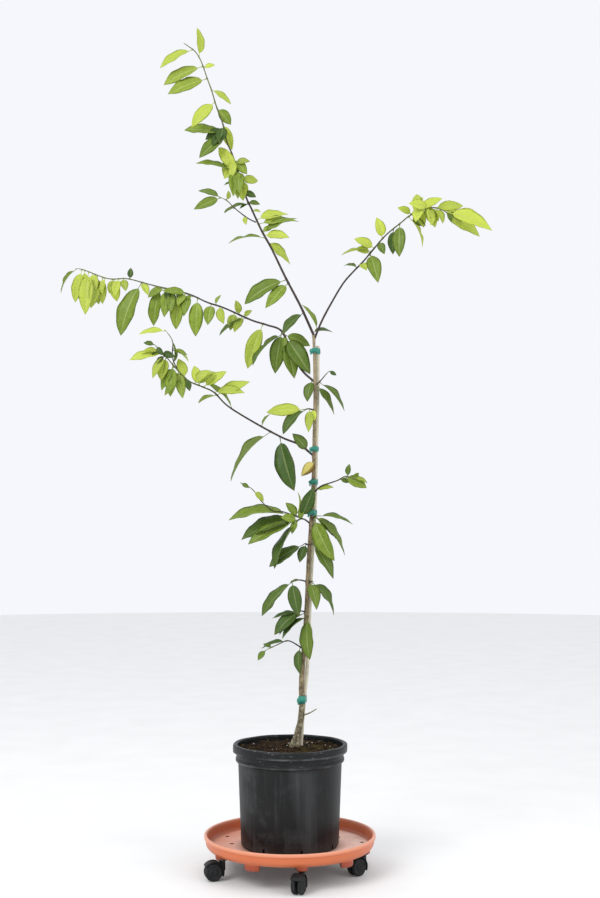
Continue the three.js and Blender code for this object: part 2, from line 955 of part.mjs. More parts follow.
const TRAY = {
  segments: 32,
  underside: 55,
  floor: 58,
  top: 85,
  lipRadius: 195.5,
  floorRadius: 182,
  socket: { angle: 9, radius: 168, boss: 16, bottom: 46, bore: 4.5, depth: 10.2 },
  lobe: { angle: -27, radius: 176, halfWidth: 20, halfDepth: 9.5, bottom: 42 },
  outerDrain: { angle: 26, radius: 167, bore: 5 },
  innerDrain: { angle: -22, radius: 133, bore: 5 },
};
const FIFTHS = [0, 72, 144, 216, 288];

function makeTray() {
  const { underside, floor, top, lipRadius, floorRadius, socket, lobe } = TRAY;
  const outline = [
    [0, underside],
    [lipRadius - 11, underside],
    [lipRadius - 4.5, underside + 7],
    [lipRadius - 2, top - 9],
    [lipRadius, top - 7],
    [lipRadius, top - 1.5],
    [lipRadius - 1.5, top],
    [lipRadius - 5, top],
    [lipRadius - 6.5, top - 1.5],
    [lipRadius - 9, floor + 5],
    [floorRadius, floor],
    [0, floor],
  ];
  let tray = turned(outline, TRAY.segments);
  for (const turn of FIFTHS) {
    const seat = polar(socket.radius, socket.angle + turn, 0);
    tray = tray.add(upright(seat.x, seat.y, socket.bottom, underside + 1, socket.boss - 1, 10, socket.boss));
    const skirt = new THREE.CylinderGeometry(1, 0.9, underside + 1 - lobe.bottom, 8)
      .rotateX(Math.PI / 2)
      .scale(lobe.halfWidth, lobe.halfDepth, 1)
      .rotateZ(degrees(lobe.angle + turn));
    const place = polar(lobe.radius, lobe.angle + turn, (underside + 1 + lobe.bottom) / 2);
    tray = tray.add(solid(skirt.translate(place.x, place.y, place.z)));
  }
  for (const turn of FIFTHS) {
    const seat = polar(socket.radius, socket.angle + turn, 0);
    const depth = socket.bottom + socket.depth;
    tray = tray.subtract(upright(seat.x, seat.y, socket.bottom - 1, depth, socket.bore, 10));
    for (const { angle, radius, bore } of [TRAY.outerDrain, TRAY.innerDrain]) {
      const hole = polar(radius, angle + turn, 0);
      tray = tray.subtract(upright(hole.x, hole.y, underside - 1, floor + 1, bore, 6));
    }
  }
  return tray;
}

const WHEEL = { segments: 16, radius: 20, inner: 3, outer: 12.3, axle: 3 };
const WHEEL_HEIGHT = WHEEL.radius * Math.cos(Math.PI / WHEEL.segments);
const FORK = {
  trail: 20.5,
  web: 2.5,
  halfWidth: 13,
  hood: 24,
  hoodInside: 21.4,
  hoodFrom: 35,
  hoodTo: 205,
  hub: 7,
  axleBore: 3.4,
  housing: 7,
  housingLow: 22,
  pin: 4.1,
};

// The direction in which each caster trails, in degrees from the front towards the right.
const TRAILS = [-18, -50, 150, 60, -75];

// A caster fork about its own pin: a hood and a middle web that carry the axle, a round housing and the pin.
function forkSolid() {
  const hoodShape = new THREE.Shape();
  hoodShape.moveTo(0, 0);
  const steps = 8;
  for (let i = 0; i <= steps; i += 1) {
    const angle = degrees(FORK.hoodFrom + ((FORK.hoodTo - FORK.hoodFrom) * i) / steps);
    hoodShape.lineTo(FORK.hood * Math.cos(angle), FORK.hood * Math.sin(angle));
  }
  const hood = new THREE.ExtrudeGeometry(hoodShape, { depth: 2 * FORK.halfWidth, bevelEnabled: false })
    .translate(0, 0, -FORK.halfWidth)
    .rotateX(Math.PI / 2)
    .translate(FORK.trail, 0, WHEEL_HEIGHT);
  const seat = TRAY.socket.bottom - CLEAR;
  const pinTop = TRAY.socket.bottom + TRAY.socket.depth - CLEAR;
  const body = union([
    solid(hood),
    roller(FORK.trail, WHEEL_HEIGHT, -FORK.web, FORK.web, FORK.hub, 10),
    upright(0, 0, FORK.housingLow, seat, FORK.housing, 10),
    upright(0, 0, seat - 2, pinTop, FORK.pin, 8),
  ]);
  const room = [
    roller(FORK.trail, WHEEL_HEIGHT, FORK.web, FORK.halfWidth + 5, FORK.hoodInside, 18),
    roller(FORK.trail, WHEEL_HEIGHT, -FORK.halfWidth - 5, -FORK.web, FORK.hoodInside, 18),
    roller(FORK.trail, WHEEL_HEIGHT, -FORK.web - 1, FORK.web + 1, FORK.axleBore, 10),
  ];
  return largest(body.subtract(union(room)));
}

// Two wheel discs on one axle, placed from the fork's pin.
function wheelSolid() {
  const { inner, outer, radius, axle, segments } = WHEEL;
  return union([
    roller(FORK.trail, WHEEL_HEIGHT, inner, outer, radius, segments),
    roller(FORK.trail, WHEEL_HEIGHT, -outer, -inner, radius, segments),
    roller(FORK.trail, WHEEL_HEIGHT, -inner - 1, inner + 1, axle, 8),
  ]);
}

// Assembly.

const trunkHole = trunkSolid(CLEAR_WOOD);
const caneHole = caneSolid(CLEAR_WOOD);
const woodHole = trunkHole.add(caneHole);

const deadTwig = stemSolid(TRUNK.deadTwig, tapered(...TRUNK.deadTwigRadii), 5, 20);

addNode("pot", makePot(), COLOR.pot);
addNode("soil", largest(makeSoil().subtract(woodHole)), COLOR.soil);
addNode("trunk", trunkSolid(0).add(deadTwig), COLOR.bark);
addNode("cane", caneSolid(0), COLOR.cane);

const ties = TIES.map(([z, width]) => tieSolid(z, width, woodHole));
ties.forEach((tie, i) => addNode(`tie_${i + 1}`, tie, COLOR.tie));

const draw = draws(20271);
for (const [name, stems] of Object.entries(SHOOTS)) {
  const shoot = largest(shootSolid(stems, draw).subtract(woodHole));
  const color = name === "yellow_leaf" ? COLOR.yellowLeaf : COLOR.leaf;
  addNode(name, shoot, color);
}

addNode("caddy_tray", makeTray(), COLOR.caddy);
const fork = forkSolid();
const wheel = wheelSolid();
FIFTHS.forEach((turn, i) => {
  const pin = polar(TRAY.socket.radius, TRAY.socket.angle + turn, 0);
  const heading = TRAILS[i] - 90;
  const placed = (made) => made.rotate([0, 0, heading]).translate([pin.x, pin.y, 0]);
  addNode(`caster_fork_${i + 1}`, placed(fork), COLOR.caster);
  addNode(`caster_wheel_${i + 1}`, placed(wheel), COLOR.caster);
});

const box = new THREE.Box3().setFromObject(part);
const middle = box.getCenter(new THREE.Vector3());
part.position.set(-middle.x, -middle.y, -box.min.z);
part.updateMatrixWorld(true);

export default part;
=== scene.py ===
"""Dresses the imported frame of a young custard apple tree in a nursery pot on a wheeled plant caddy.

Shapes are worked out in millimetres about the pot's axis at floor level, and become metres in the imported
frame when a piece is made. X is the viewer's right, Y points away from the viewer and Z is up.
"""

import math
from types import SimpleNamespace as Sizes

import bpy
import numpy as np
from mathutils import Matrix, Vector


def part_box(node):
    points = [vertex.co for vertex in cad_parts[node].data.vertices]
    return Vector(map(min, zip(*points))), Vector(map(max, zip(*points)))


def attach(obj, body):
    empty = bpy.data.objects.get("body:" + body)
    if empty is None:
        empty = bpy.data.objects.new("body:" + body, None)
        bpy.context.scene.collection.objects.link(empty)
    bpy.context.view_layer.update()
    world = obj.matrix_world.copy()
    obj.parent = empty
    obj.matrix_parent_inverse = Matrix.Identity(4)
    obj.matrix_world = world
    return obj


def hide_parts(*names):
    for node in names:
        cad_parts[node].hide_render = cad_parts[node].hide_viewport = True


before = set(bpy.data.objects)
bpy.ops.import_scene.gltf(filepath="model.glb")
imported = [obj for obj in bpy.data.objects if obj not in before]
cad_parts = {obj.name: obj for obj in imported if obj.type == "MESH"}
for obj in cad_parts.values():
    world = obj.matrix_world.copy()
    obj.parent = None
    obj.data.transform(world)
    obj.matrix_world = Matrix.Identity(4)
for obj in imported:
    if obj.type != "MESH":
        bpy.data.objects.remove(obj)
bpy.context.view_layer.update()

bl_info = {
    "name": "Potted custard apple tree",
    "version": (1, 0, 0),
    "blender": (4, 5, 0),
    "location": "View3D > Sidebar > Custard apple",
    "description": "Builds the tree, its pot of soil and its plant caddy round the packed frame",
    "category": "Add Mesh",
}

POT_LOW, POT_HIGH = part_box("pot")
AXIS = np.array([(POT_LOW.x + POT_HIGH.x) / 2, (POT_LOW.y + POT_HIGH.y) / 2, 0.0])
MM = 0.001

# Leafy shoots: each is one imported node, with its side stems. A stem has its radii at the base and the tip,
# its route and its leaves, as (place along the stem, length, swing, lean, age, turn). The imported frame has
# the same rows. extra are leaves that only fill out a cluster here, and hues gives some of the leaves, by
# number, another age for their colour than for their shape.
SHOOTS = {
    "leader": [{
        "radii": (3.1, 1.2),
        "route": [
            (55, 0, 1231), (24, 6, 1301), (-12, 14, 1372), (-43, 20, 1438), (-69, 26, 1487),
            (-93, 30, 1540), (-106, 32, 1569), (-137, 36, 1666), (-152, 38, 1704), (-162, 38, 1747),
            (-178, 38, 1791), (-190, 36, 1831), (-200, 34, 1858), (-214, 32, 1898), (-229, 30, 1923),
            (-245, 28, 1935), (-257, 26, 1943),
        ],
        "leaves": [
            (0.01, 54, 94, 22, 1, -32), (0.075, 80, -42, -15, 0.95), (0.178, 88, -40, -14, 0.45, -15),
            (0.19, 124, -60, 5, 0.65, -5), (0.325, 80, 46, 15, 0.22, -5), (0.345, 72, 78, -25, 0.1, 10),
            (0.355, 92, 110, -10, 0.6, -12), (0.335, 98, -79, -10, 0.6, 40), (0.385, 100, 93, 0, 0.4, -12),
            (0.46, 30, 80, 0, 0.8, 20), (0.495, 34, 62, -10, 0.95, 30), (0.535, 48, 92, 25, 0.25, 40),
            (0.57, 88, -5, -24, 0.2, 0), (0.56, 85, 5, -34, 0.3, 0), (0.55, 112, -105, 0, 0.35, 24),
            (0.59, 40, 88, -20, 0.35, 20), (0.6, 52, 40, -8, 0.4, 20), (0.56, 88, -143, 10, 0.08, -30),
            (0.62, 68, -20, 24, 0.1, 0), (0.4, 84, 103, 15, 0.15, 5), (0.68, 92, -45, -14, 0.75, -14),
            (0.72, 70, 20, 15, 0.12, 15), (0.685, 104, -97, 5, 0.7, 0), (0.77, 54, 43, 20, 0.45, 30),
            (0.79, 94, -38, -14, 0.08, -15), (0.83, 60, 55, 10, 0.2, -10), (0.865, 104, -68, 0, 0.25, -22),
            (0.9, 30, 104, 0, 0.1), (0.905, 108, -67, 8, 0.2, -14), (0.935, 78, -176, 0, 0.1, 35),
            (0.965, 95, -58, -5, 0.1, 0),
        ],
        "extra": [
            (0.7, 55, -60, 0, 1), (0.6, 60, -5, -20, 0.05), (0.585, 50, -35, -10, 0.15),
            (0.71, 58, -8, -25, 1, 0), (0.53, 32, 35, 10, 0.2), (0.52, 48, -80, -20, 0.9, 30),
            (0.455, 26, -60, 0, 0.8, 20), (0.455, 66, -68, -10, 0.9, 52), (0.43, 22, 80, 0, 0.3),
            (0.36, 30, 110, 0, 0.4), (0.7, 59, -28, -20, 1, 5), (0.54, 62, -3, -20, 0.3),
            (0.525, 50, 6, -10, 0.12),
        ],
        "hues": {12: 0.5, 13: 0.45, 14: 0.45, 16: 0.5, 18: 0.25, 22: 0.6, 26: 0.38, 28: 0.36},
    }, {
        "radii": (1.6, 1),
        "route": [
            (-82, 27, 1506), (-100, 18, 1513), (-118, 8, 1524), (-134, -4, 1535), (-148, -14, 1547),
            (-162, -24, 1552),
        ],
        "leaves": [
            (0.3, 24, 10, -10, 0.15), (0.6, 30, -60, -10, 0.8, 25), (1, 60, -108, 5, 0.6, -8),
            (0.85, 26, 170, 5, 0.25, 50), (1, 72, -64, -8, 0.4, -28),
        ],
        "hues": {2: 0.75, 4: 0.6},
    }],
    "right_branch": [{
        "radii": (2.6, 1.1),
        "route": [
            (57, 0, 1222), (64, -5, 1240), (76, -11, 1267), (96, -22, 1303), (123, -38, 1346),
            (148, -50, 1373), (168, -60, 1392), (192, -72, 1419), (220, -84, 1449), (255, -96, 1476),
            (271, -102, 1488), (299, -112, 1503), (330, -122, 1502), (354, -130, 1490),
        ],
        "leaves": [
            (0.05, 72, -147, -5, 0.55, 36), (0.43, 40, -104, 30, 0.85), (0.46, 40, 23, -50, 0.1),
            (0.525, 90, 12, -25, 0.6), (0.54, 78, -80, -10, 0.25, 32), (0.53, 40, -100, -10, 0.2),
            (0.56, 54, -112, -10, 0.05, -20), (0.6, 38, 18, -20, 0.8, 25), (0.62, 54, -164, -10, 0.05, 0),
            (0.695, 62, 0, 20, 1, 20), (0.735, 84, -2, -10, 0.75, 15), (0.81, 38, -112, -12, 0.1, -25),
            (0.79, 82, 27, 15, 0.15, -54), (0.82, 44, 150, 0, 0.05, 0), (0.85, 62, 112, -20, 0.05, 20),
            (0.845, 44, 20, 10, 0.1, 0), (0.84, 46, 178, 15, 0.1, 0), (0.88, 58, 26, -12, 0.25, 0),
            (0.9, 52, -95, -25, 0.03, -35), (0.93, 70, 96, 10, 0.15, 30), (0.965, 114, 58, 12, 0.12, 20),
            (0.99, 50, 50, 10, 0.75, 20), (1, 118, 64, -12, 0.05, 15),
        ],
        "extra": [
            (0.81, 42, 50, 0, 0.8, 80), (0.87, 40, 60, -10, 0.1), (0.91, 40, 30, 5, 0.05),
            (0.94, 44, 20, -10, 0.15), (0.86, 56, -20, -40, 0.05), (0.83, 50, 62, -30, 0.1),
            (0.9, 52, 5, -20, 0.05), (0.52, 40, 30, 20, 0.8),
        ],
    }],
    "upper_left_branch": [{
        "radii": (2.8, 1.1),
        "route": [
            (56, 0, 1121), (26, 14, 1152), (0, 26, 1200), (-21, 38, 1247), (-57, 52, 1264), (-95, 64, 1278),
            (-160, 82, 1310), (-202, 94, 1326), (-250, 106, 1349), (-331, 124, 1372), (-361, 130, 1381),
            (-404, 138, 1393), (-452, 146, 1395), (-511, 156, 1418), (-531, 160, 1423),
        ],
        "leaves": [
            (0.01, 58, -12, -15, 0.85, 20), (0.19, 118, 33, -12, 0.85, 15), (0.2, 72, 68, 10, 0.7, 25),
            (0.185, 102, 12, -8, 0.65, 0), (0.195, 34, 0, -20, 0.65), (0.215, 108, -9, 4, 0.75, 0),
            (0.205, 118, -42, -12, 0.85, 55), (0.29, 116, -19, 5, 0.3, 0), (0.365, 28, 125, -10, 0.3, 20),
            (0.355, 80, -55, -5, 0.9, 42), (0.4, 50, -12, -10, 0.4, 0), (0.49, 59, -8, -15, 0.45, 0),
            (0.545, 100, -3, 5, 0.45, 0), (0.575, 62, -14, -12, 0.6, 0), (0.64, 66, -3, -20, 0.6),
            (0.685, 100, -11, 10, 0.5, 10), (0.61, 100, -8, 12, 0.4, 0), (0.585, 64, -95, -10, 0.55, -20),
            (0.66, 80, -4, -14, 0.45), (0.755, 42, 26, -20, 0.1), (0.8, 30, 176, 0, 1),
            (0.755, 150, -21, 0, 0.65, 12), (0.865, 58, 12, 12, 0.05, 0), (0.825, 40, 15, -20, 0.25, 0),
            (0.84, 52, -10, -16, 0.08, 0), (0.9, 70, -2, 15, 0.1, 0), (0.93, 82, 6, 14, 0.3, 0),
            (0.955, 114, -2, -8, 0.35, 0), (0.98, 88, -14, 14, 0.12, 0), (1, 80, -32, 0, 0.5, 65),
        ],
        "extra": [
            (0.97, 60, -4, 10, 0.1), (0.92, 88, -10, -4, 0.2), (0.94, 50, 14, -14, 0.05),
            (0.89, 45, -8, -5, 0.05), (0.855, 40, -20, 0, 0.3), (0.38, 38, -165, -20, 0.3, 0),
            (0.37, 52, -22, -25, 0.3, 0), (0.46, 50, 15, -15, 0.2), (0.475, 30, 150, 0, 0.4),
            (0.67, 50, -60, 0, 0.5), (0.625, 56, 20, -10, 0.55), (0.59, 44, -30, -20, 0.4),
            (0.56, 40, -60, 10, 0.3), (0.655, 36, 0, -25, 1),
        ],
        "hues": {25: 0.2, 27: 0.15},
    }],
    "lower_left_branch": [{
        "radii": (2.7, 1.1),
        "route": [
            (55, 0, 947), (23, -14, 972), (-16, -30, 987), (-64, -50, 1011), (-116, -72, 1040),
            (-146, -84, 1060), (-172, -95, 1086), (-197, -106, 1097), (-227, -118, 1109),
            (-251, -128, 1132), (-277, -138, 1162), (-300, -148, 1186),
        ],
        "leaves": [
            (0.04, 58, -138, -10, 0.85, -10), (0.212, 136, 15, -10, 1, 36), (0.265, 158, -38, -6, 0.75, 73),
            (0.32, 36, 145, 0, 0.6, -75), (0.62, 74, 89, 0, 0.1, 0), (0.6, 84, 113, 8, 0.08, 10),
            (0.6, 50, -68, 18, 0.5, 55), (0.68, 66, 124, 0, 0.12, 10), (0.49, 88, -136, -5, 0.5, 40),
            (0.73, 50, 128, -5, 0.12, 0), (0.87, 78, -4, 0, 0.45, 0), (0.8, 66, -38, -20, 0.5, 0),
            (0.76, 60, -100, -10, 0.35, -20), (0.93, 62, -26, -10, 0.2, 0), (0.87, 62, -176, 10, 0.8, 70),
            (0.95, 62, -78, 5, 0.5, 30), (0.94, 80, -79, -5, 0.12, 0), (0.96, 30, -60, -10, 1, 20),
            (1, 26, -100, 0, 0.9),
        ],
        "extra": [
            (0.7, 50, -165, 0, 0.12), (0.78, 34, 20, -10, 0.95), (0.99, 28, 40, -10, 1, 40),
            (0.93, 30, -40, -15, 1, 20), (0.95, 34, 70, -10, 1, 40), (0.92, 56, -12, -5, 0.3, 0),
            (0.86, 66, -28, 5, 0.5, 0), (0.83, 66, 10, -8, 0.4, 0), (0.78, 50, -160, 5, 0.15, 0),
            (0.97, 44, -72, 5, 0.1), (0.71, 58, 122, 10, 0.2),
        ],
        "hues": {4: 0.18, 5: 0.2, 15: 0.15},
    }, {
        "radii": (1.3, 0.9),
        "route": [(-251, -128, 1132), (-262, -132, 1160), (-262, -134, 1196), (-277, -134, 1220)],
        "leaves": [(1, 62, -82, -5, 0.1, 0)],
        "extra": [(0.5, 36, 70, 0, 0.5), (0.55, 50, 48, 0, 0.2, -55)],
    }],
    "right_spur": [{
        "radii": (1.5, 1.2),
        "route": [(57, 0, 1111), (70, -5, 1122), (82, -8, 1136), (91, -9, 1145)],
        "leaves": [(0.1, 84, 31, 5, 0.75, -36), (0.3, 96, 40, -8, 0.85, -46)],
        "extra": [(1, 20, 60, 0, 1)],
    }],
    "middle_left_shoot": [{
        "radii": (1.8, 1.3),
        "route": [(57, 0, 1054), (44, -7, 1057), (34, -12, 1055)],
        "leaves": [(0.5, 62, -3, -20, 0.2, 0), (0.8, 92, -42, -14, 0.95, 20), (1, 92, -86, 5, 0.12, -20)],
        "extra": [(0.2, 34, 10, -30, 0)],
    }],
    "yellow_leaf": [{
        "radii": (1.3, 1.1),
        "route": [(56, -1, 936), (57, -8, 936), (57, -12, 934)],
        "leaves": [(1, 52, -42, -20, 0.3)],
    }],
    "right_twig": [{
        "radii": (1.9, 1),
        "route": [
            (56, -1, 863), (72, -5, 877), (93, -14, 884), (111, -26, 890), (126, -36, 898), (142, -42, 895),
            (156, -48, 889),
        ],
        "leaves": [
            (0.06, 44, 98, -15, 0.25), (0.6, 26, 75, 10, 0.85, 30), (0.72, 58, 62, -5, 0.45, 10),
            (0.78, 30, 172, 0, 0.85), (0.85, 24, 120, 20, 0.5, 60), (0.9, 36, 70, -5, 0.4),
        ],
    }],
    "left_whorl": [{
        "radii": (2.2, 1.4),
        "route": [(48, -1, 789), (30, -10, 801), (14, -18, 796)],
        "leaves": [
            (0.85, 130, -26, -4, 0.95, 50), (0.92, 150, -71, 10, 0.9, 16), (1, 126, -64, -6, 0.85, 15),
        ],
        "extra": [(0.9, 44, -100, -15, 0.55, -20), (0.95, 36, -20, -20, 0.5), (0.8, 30, 160, 0, 0.6)],
        "hues": {2: 0.6},
    }, {
        "radii": (1.6, 0.9),
        "route": [
            (30, -10, 801), (-16, -16, 817), (-39, -20, 819), (-66, -26, 841), (-87, -32, 869),
            (-115, -38, 884),
        ],
        "leaves": [
            (0.03, 84, 157, -15, 1, 25), (0.1, 62, 176, 5, 0.1, 80), (0.16, 156, -85, 5, 0.6, 27),
            (0.78, 34, 42, 0, 0.3, 0), (0.98, 22, 60, 0, 0.8),
        ],
        "extra": [(0.08, 44, -140, -5, 0.6, 0)],
        "hues": {1: 0.3},
    }, {
        "radii": (1.7, 1.2),
        "route": [(44, -1, 738), (36, -8, 744), (30, -12, 741)],
        "leaves": [(0.5, 48, -20, -15, 1), (0.9, 98, -57, -5, 0.95, 12)],
    }],
    "right_whorl": [{
        "radii": (2, 1.4),
        "route": [(49, -1, 796), (57, -11, 807), (64, -18, 808)],
        "leaves": [
            (0.7, 122, 37, 10, 0.65, -45), (0.5, 122, 25, -8, 0.5, 40), (0.6, 80, 44, 20, 0.5, -15),
            (1, 88, 76, 0, 0.8, -36),
        ],
        "hues": {1: 0.62},
    }, {
        "radii": (1.6, 1.2),
        "route": [(45, -1, 738), (51, -10, 744), (56, -15, 741)],
        "leaves": [(0.6, 98, 31, -5, 0.85, -22)],
    }],
    "low_left_shoot": [{
        "radii": (1.9, 1.2),
        "route": [(41, -1, 655), (23, -8, 660), (2, -14, 658)],
        "leaves": [
            (0.35, 30, -80, -10, 0.8, 40), (0.95, 88, 11, -12, 0.85, 10), (0.85, 114, -42, 5, 0.9, 30),
        ],
        "hues": {1: 0.98},
    }],
    "low_right_shoot": [{
        "radii": (1.8, 1.2),
        "route": [(41, -1, 650), (48, -10, 657), (55, -16, 656)],
        "leaves": [(0.4, 82, 14, -35, 0.6), (0.6, 104, 34, 8, 0.9, -40)],
        "hues": {0: 0.75},
    }],
    "low_left_cluster": [{
        "radii": (1.9, 1.3),
        "route": [(38, -1, 585), (27, -8, 589), (18, -12, 587)],
        "leaves": [(0.1, 84, -50, -12, 1, 50), (0.8, 88, -48, -16, 1, 5), (1, 62, -76, 0, 1, 25)],
    }],
    "front_leaf": [{
        "radii": (1.7, 1.3),
        "route": [(38, -1, 573), (42, -10, 578), (42, -16, 577)],
        "leaves": [(1, 104, 2, -8, 0.75, 36)],
        "extra": [(0.9, 86, -50, -18, 1, 44)],
    }],
    "bottom_left_shoot": [{
        "radii": (1.8, 1),
        "route": [(32, -1, 500), (17, -10, 511), (-5, -20, 522), (-30, -28, 513), (-55, -34, 502)],
        "leaves": [
            (0.12, 68, 0, -14, 0.95, 38), (0.5, 62, -72, 10, 1, 30), (0.85, 22, -110, 0, 0.9),
            (1, 30, -38, -10, 0.75),
        ],
    }],
}

# Leaves. The petiole and the widths are shares of a leaf's length, but tip_width, rod, which is half a
# petiole's height, and rib, the midrib's depth, are in millimetres. Leaves under short millimetres take
# short_width, and those from middling and from long ripple in another way. rise and fall are the oval's
# powers, and scale makes its widest place 1. arch, fold in degrees and wave each have a least value and a
# spread, and roll is the whole range of a leaf's own turn. Blades turn their faces to light.
LEAF = Sizes(
    petiole=0.13, rod=0.75, tip_width=0.8, young_width=0.35, old_width=0.39, short_width=0.5, short=60,
    middling=50, long=80, rise=0.65, fall=0.95, scale=2.946, arch=(0.2, 0.25), fold=(10, 14),
    wave=(0.01, 0.02), roll=60, rib=0.9, light=(0.0, -0.8, 0.6), seed=20271, filler_seed=20280,
)
# A bud starts a little off its leaf's foot.
BUD = Sizes(length=3.2, radius=0.9, off=1.2)

TRUNK_ROUTE = [
    (9, 0, 205), (12, 0, 276), (18, -1, 312), (24, -1, 338), (27, -1, 362), (27, 0, 390), (27, 0, 435),
    (34, 0, 522), (39, 0, 614), (43, 0, 706), (49, 0, 798), (54, 0, 891), (56, 0, 985), (58, 0, 1078),
    (57, 0, 1172), (55, 0, 1231),
]
# The trunk's radius at heights.
TRUNK_RADII = [
    (205, 6), (276, 8.6), (300, 8), (330, 6.9), (385, 6.5), (430, 6.3), (470, 5.4), (800, 4.5), (1078, 3.9),
    (1231, 3.3),
]
# The graft: the heights between which the bark turns smooth, and the middle of its swelling.
GRAFT = Sizes(low=425, high=470, swelling=452)
# Root flares: direction in degrees from +X, reach beyond the trunk, spread in degrees. They start FLARE_TOP
# up, and the groove runs down between the two in front.
FLARES = [(-142, 10.5, 27), (-54, 8.5, 25), (120, 10, 30)]
FLARE_TOP = 313
GROOVE = Sizes(angle=-98, depth=2.6, spread=17)
DEAD_TWIG = [(27, -2, 350), (44, -7, 356), (61, -10, 366)]
CANE_ROUTE = [
    (20, 15, 150), (25, 14, 280), (33, 14, 390), (38, 14, 435), (41, 13, 485), (46, 12, 613), (50, 12, 694),
    (54, 12, 752), (58, 12, 845), (61, 12, 962), (64, 12, 1080), (65, 12, 1207),
]
CANE_RADIUS = 4.5
# Ties: height and width.
TIES = [(1194, 13), (964, 12), (887, 12), (815, 13), (386, 17)]

# The pot: its heights, its radii at them, and the depths of its rings below its top.
POT = Sizes(
    foot=58.3, top=287, wall=1.9, floor=2.2, foot_radius=108, low_radius=111.5, high_radius=118.7,
    bead_radius=124.5, neck_radius=123, lip_radius=131, lip_depth=17.5, neck_depth=31, bead_depth=38,
    shoulder_depth=42,
)
SLOTS = Sizes(count=8, angle=14, width=5.5, low=60, high=71.5)
SOIL = Sizes(middle=279, fall=4, rim=121.0, low=64)

# The caddy's dish, its caster sockets, and the oval skirts under it. Angles are from the front towards the
# right.
TRAY = Sizes(under=55, floor=58, top=85, lip_radius=195.5, floor_radius=182)
SOCKET = Sizes(angle=9, radius=168, boss=16, bottom=46, bore=4.5, depth=10.2)
LOBE = Sizes(angle=-27, radius=176, half_width=20, half_depth=9.5, bottom=42)
# Drain holes: angle, distance from the axis and radius of one, which is there five times.
DRAINS = [(26, 167, 5), (-22, 133, 5)]
FIFTHS = (0, 72, 144, 216, 288)
# The way that each caster trails, in degrees from the front towards the right.
TRAILS = (-18, -50, 150, 60, -75)

# A wheel's disc lies from inner to outer off the fork's middle, and its radius reaches to the middle of a
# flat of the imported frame's sixteen-sided wheel.
WHEEL = Sizes(radius=20 * math.cos(math.pi / 16), inner=3, outer=12.3, axle=3, cap=8.2, dimple=2.4)
# A fork's axle trails its pin. The hood is a section between inside and hood off the axle, from start to
# end in degrees.
FORK = Sizes(
    trail=20.5, web=2.5, half_width=13, hood=24, inside=21.6, start=35, end=205, hub=7, housing=7,
    housing_low=22, flange=3.5, pin=4.1, web_radius=22, gap=0.3,
)

# The photograph's camera, from the pot's axis at floor level, and its upward tilt in degrees.
CAMERA_PLACE = (22.95, -2900, 775)
CAMERA_PITCH = 3.72
# Lamps: name, place and aim in metres from the pot's axis, diameter in metres, share of the key light's
# power.
LAMPS = [
    ("key_lamp", (-2.2, -2.6, 3.2), (0, 0, 0.9), 2.2, 1.0),
    ("fill_lamp", (2.8, -2.0, 1.8), (0, 0, 0.7), 2.4, 0.35),
]


# Shapes. A shape is (points, faces, values): points in millimetres, faces as a list of arrays with one face
# a row, and values as a dict of arrays with one row a point.


def joined(shapes):
    """One shape from several, which keep their own points."""
    offset = 0
    points, faces, values = [], [], {}
    for part_points, part_faces, part_values in shapes:
        points.append(part_points)
        faces += [face + offset for face in part_faces]
        for key, value in part_values.items():
            values.setdefault(key, []).append(value)
        offset += len(part_points)
    return np.vstack(points), faces, {key: np.concatenate(rows) for key, rows in values.items()}


def skin(grid, along=False, poles=(False, False), values=None):
    """Quads over a grid of points, row by row, facing outwards where each row runs counter-clockwise about
    the rows' course. Each row is closed on itself, and along joins the last row to the first. A pole is a
    row that has shrunk to a point: it becomes one point with a fan of triangles. Another end gets a flat
    cap."""
    rows, columns = grid.shape[:2]
    numbers = np.arange(rows * columns).reshape(rows, columns)
    first, last = poles
    if first:
        numbers[0] = numbers[0, 0]
    if last:
        numbers[-1] = numbers[-1, 0]
    low = numbers if along else numbers[:-1]
    high = np.roll(numbers, -1, axis=0) if along else numbers[1:]
    quads = np.stack([low, np.roll(low, -1, axis=1), np.roll(high, -1, axis=1), high], axis=-1)
    faces = [quads[int(first) : len(quads) - int(last)].reshape(-1, 4)]
    if first:
        faces.append(quads[0][:, [0, 2, 3]])
    elif not along:
        faces.append(numbers[0][::-1][None])
    if last:
        faces.append(quads[-1][:, [0, 1, 2]])
    elif not along:
        faces.append(numbers[-1][None])
    points = grid.reshape(-1, 3)
    used = np.zeros(len(points), bool)
    used[numbers.ravel()] = True
    order = np.cumsum(used) - 1
    values = {key: value.reshape(rows * columns, -1)[used] for key, value in (values or {}).items()}
    return points[used], [order[face] for face in faces], values


def stacked(*parts):
    """Arrays or numbers side by side in a last axis, at the shape that they reach together."""
    return np.stack(np.broadcast_arrays(*parts), axis=-1)


def circle(sides):
    """Evenly spaced angles once round, in radians."""
    return 2 * math.pi * np.arange(sides) / sides


def unit(vectors):
    """Vectors at length 1."""
    return vectors / np.linalg.norm(vectors, axis=-1, keepdims=True)


def turned(outline, segments):
    """A (radius, height) outline turned about Z: each point goes to radius × (cos a, sin a) at its height.
    The outline runs up the outside and down the inside, so that the faces point out of the solid."""
    outline = np.array(outline, float)
    angles = 2 * math.pi * (np.arange(segments) + 0.5) / segments
    grid = stacked(outline[:, :1] * np.cos(angles), outline[:, :1] * np.sin(angles), outline[:, 1:])
    poles = (outline[0, 0] == 0, outline[-1, 0] == 0)
    return skin(grid, along=not poles[0], poles=poles)


